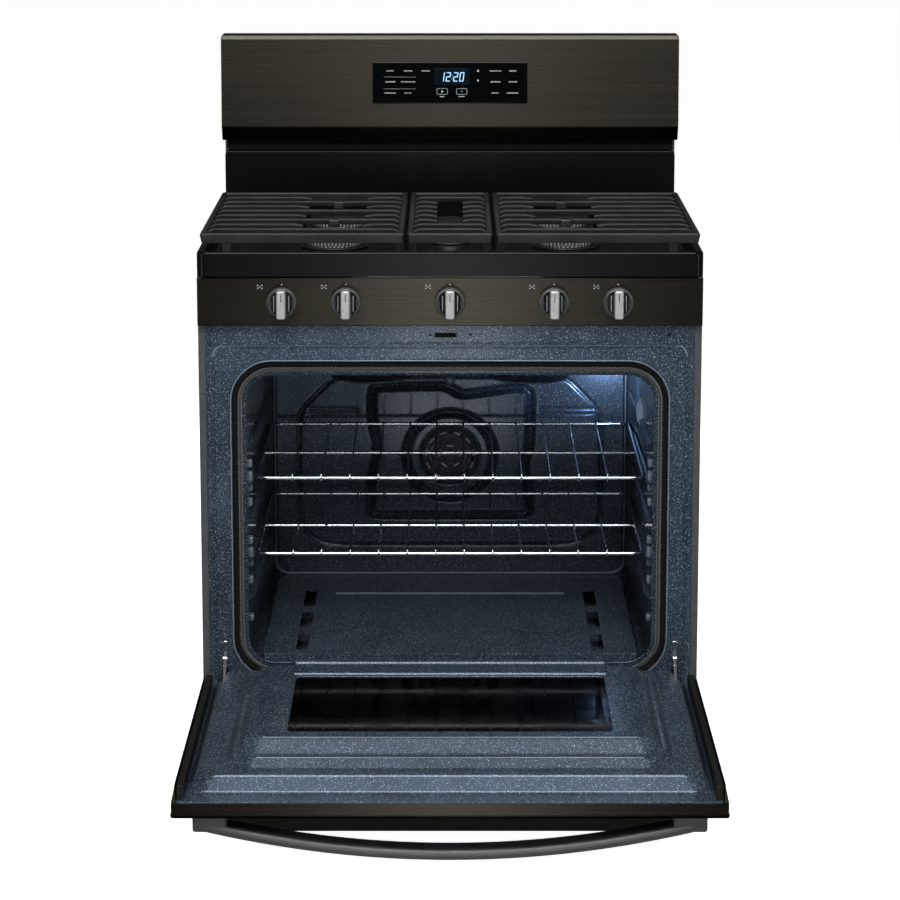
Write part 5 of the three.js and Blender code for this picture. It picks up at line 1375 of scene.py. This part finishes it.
def rear_panel():
    """A plate with louvre slots and a gas inlet cut through, set a little inside a raised border, with
    pressed ribs, a hood over each slot and a cover plate that rise to the border's height."""
    lo, hi = box("rear_cover")
    top, plate = hi[1], hi[1] - 0.8
    slots = [(TOP_LO[2] - 21 * i, TOP_LO[2] - 21 * i + 7) for i in range(1, 7)]
    cutters = [block([-150, plate - 9, z0], [150, top + 5, z1], 2) for z0, z1 in slots]
    inlet = lathe([[0, -9], [17, -9], [17, 9], [0, 9]], 32)
    cutters.append(moved(facing(inlet, "back"), [270, plate, 90]))
    sheet = carved(block([lo[0], lo[1], lo[2]], [hi[0], plate, hi[2]], 0.3), *cutters)

    def edge(inset, y):
        """The cover's outline, drawn in."""
        return standing(rectangle(lo[0] + inset, hi[0] - inset, lo[2] + inset, hi[2] - inset, 2, 4), y)

    border = skin([edge(0.2, plate - 0.2), edge(0.2, top - 0.3), edge(0.5, top), edge(13, top),
                   edge(13.8, top - 0.4), edge(14.6, plate - 0.2)], joined=True)
    made = [sheet, border]
    made += [block([-158, plate - 0.2, z1 + 1], [158, top, z1 + 6], 0.4) for _, z1 in slots]
    made += [block([x - 9, plate - 0.2, 150], [x + 9, top, 660], 0.45) for x in (-255, 255)]
    made += [block([-215, plate - 0.2, z - 9], [215, top, z + 9], 0.45) for z in (190, 600)]
    made.append(block([-330, plate - 0.2, 720], [-200, top - 0.1, 800], 0.4))
    return merged(*made)


def rear_screws():
    """Screws down both sides of the rear panel and along its top, and two on its cover plate."""
    hi = box("rear_cover")[1]
    plate = hi[1] - 0.8
    places = [(x, z, plate) for x in (-HALF + 25, HALF - 25) for z in np.linspace(80, hi[2] - 30, 7)]
    places += [(x, hi[2] - 26, plate) for x in (-180, 0, 180)]
    places += [(x, 760, plate + 0.04) for x in (-320, -210)]
    return merged(*[hex_head(*place) for place in places])


piece("rear_panel", rear_panel(), ZINC, replaces=["rear_cover"], slot="galvanised_steel")
piece("rear_screws", rear_screws(), HINGE_STEEL, slot="galvanised_steel")
finish_cad(ZINC, "drawer_box", "base_pan", "bake_burner", "fan_motor",
           "convection_fan", *[f"leveling_foot_{a}_{b}" for a in ("front", "rear")
                               for b in ("left", "right")])
finish_cad(SIDE_PAINT, "side_panel_left", "side_panel_right")
finish_cad(BRASS, "gas_manifold", *[f"valve_stem_{b}" for b in BURNERS])

# ---------------------------------------------------------------- floor, light and camera


def stage():
    """A pale floor, lit a little from within so that it stays pale a long way back. It's left out of
    mirror reflections, as a white sweep is shielded from glossy enamel in a studio."""
    points = np.array([[-60, -30, 0], [60, -30, 0], [60, 90, 0], [-60, 90, 0]], float)
    mesh = bpy.data.meshes.new("floor")
    mesh.from_pydata(points.tolist(), [], [(0, 1, 2, 3)])
    mesh.materials.append(finish("pale floor", {
        "Base Color": linear("#ececec"), "Roughness": 0.8, "Specular IOR Level": 0.1,
        "Emission Color": linear("#ffffff"), "Emission Strength": 0.95,
    })[0])
    floor = bpy.data.objects.new("floor", mesh)
    floor.visible_glossy = False
    bpy.context.scene.collection.objects.link(floor)


def lit(light, at):
    """Puts a light in the scene."""
    obj = bpy.data.objects.new(light.name, light)
    bpy.context.scene.collection.objects.link(obj)
    obj.location = at
    return obj


def area_light(name, at, towards, size, watts, spread=180):
    """A softbox that the camera doesn't see; its light stays within a cone `spread` degrees wide."""
    light = bpy.data.lights.new(name, "AREA")
    light.spread = math.radians(spread)
    light.shape = "RECTANGLE"
    light.size, light.size_y = size
    light.energy = watts
    aim = Vector(towards) - Vector(at)
    obj = lit(light, at)
    obj.rotation_euler = aim.to_track_quat("-Z", "Y").to_euler()
    obj.visible_camera = False


def sky():
    """Dim studio walls: brightness rises from the horizon to overhead and, behind the range, from the
    sides to the back, and is black below the horizon. The camera itself sees a plain pale backdrop."""
    world = bpy.data.worlds.new("studio")
    world.use_nodes = True
    bpy.context.scene.world = world
    tree = world.node_tree
    direction = add(tree, "ShaderNodeTexCoord").outputs["Generated"]
    _, towards_back, height = add(tree, "ShaderNodeSeparateXYZ", [direction]).outputs
    above = add(tree, "ShaderNodeMapRange", [height, 0.0, 0.7, 0.03, 0.55])
    behind = add(tree, "ShaderNodeMapRange", [towards_back, 0.3, 0.9, 0.0, 0.8])
    over = add(tree, "ShaderNodeMapRange", [height, -0.02, 0.0])
    back = add(tree, "ShaderNodeMath", [behind, over], operation="MULTIPLY")
    walls = add(tree, "ShaderNodeMath", [above, back], operation="MAXIMUM")
    seen = add(tree, "ShaderNodeLightPath").outputs["Is Camera Ray"]
    glow = add(tree, "ShaderNodeMix", {0: seen, 2: walls, 3: 0.9}, data_type="FLOAT")
    connect(tree.nodes["Background"], {"Strength": glow})


def lights():
    """A broad softbox high over the front, one above the camera, a faint tall strip below its axis that
    the steel and the knobs mirror, a narrow fill on the open door, softboxes over the cooktop, behind
    the range and at each side, and the oven's lamp."""
    sky()
    area_light("overhead", (0, -1.9, 3.0), (0, -0.1, 0.5), (2.2, 1.4), 115)
    area_light("front", (0, -5.6, 2.5), (0, 0, 0.8), (0.5, 1.0), 5)
    area_light("strip", (0, -5.3, -0.4), (0, 0, -0.4), (0.4, 2.5), 15)
    area_light("fill", (0, -2.5, 1.5), (0, -0.6, 0.1), (1.6, 0.4), 1.6, spread=36)
    area_light("top", (0, -0.3, 3.0), (0, -0.3, 0), (1.6, 0.8), 9)
    area_light("rear", (0, 3.4, 0.7), (0, 0.6, 0.6), (0.7, 1.0), 25)
    area_light("left", (-3.4, -2.2, 1.1), (0, 0, 0.6), (0.5, 2.0), 20)
    area_light("right", (3.4, -2.2, 1.1), (0, 0, 0.6), (0.5, 2.0), 20)
    bulb = bpy.data.lights.new("oven_bulb", "SPOT")
    bulb.energy, bulb.shadow_soft_size, bulb.specular_factor = 5.0, 0.015, 0.3
    bulb.spot_size, bulb.spot_blend = math.radians(95), 1.0
    bulb.color = linear("#bcd8ff")[:3]
    at = Vector((LAMP_AT - [30, 0, 0]) * MM)
    corner = Vector((BACK_HALF - 50, BACK_Y, CAVITY_TOP - 15)) * MM
    lit(bulb, at).rotation_euler = (corner - at).to_track_quat("-Z", "Y").to_euler()


def camera():
    """A long lens on the middle of the range, from 4.5 m in front of the panel and 1.6 m up."""
    data = bpy.data.cameras.new("camera")
    data.lens, data.sensor_width = 121.9, 36.0
    data.shift_y = -0.1
    cam = bpy.data.objects.new("camera", data)
    bpy.context.scene.collection.objects.link(cam)
    cam.location = (0, FACE * MM - 4.5058, 1.6028)
    cam.rotation_euler = (math.radians(90 - 10.73), 0, 0)
    bpy.context.scene.camera = cam


stage()
lights()
camera()
bpy.context.scene.view_settings.view_transform = "Standard"
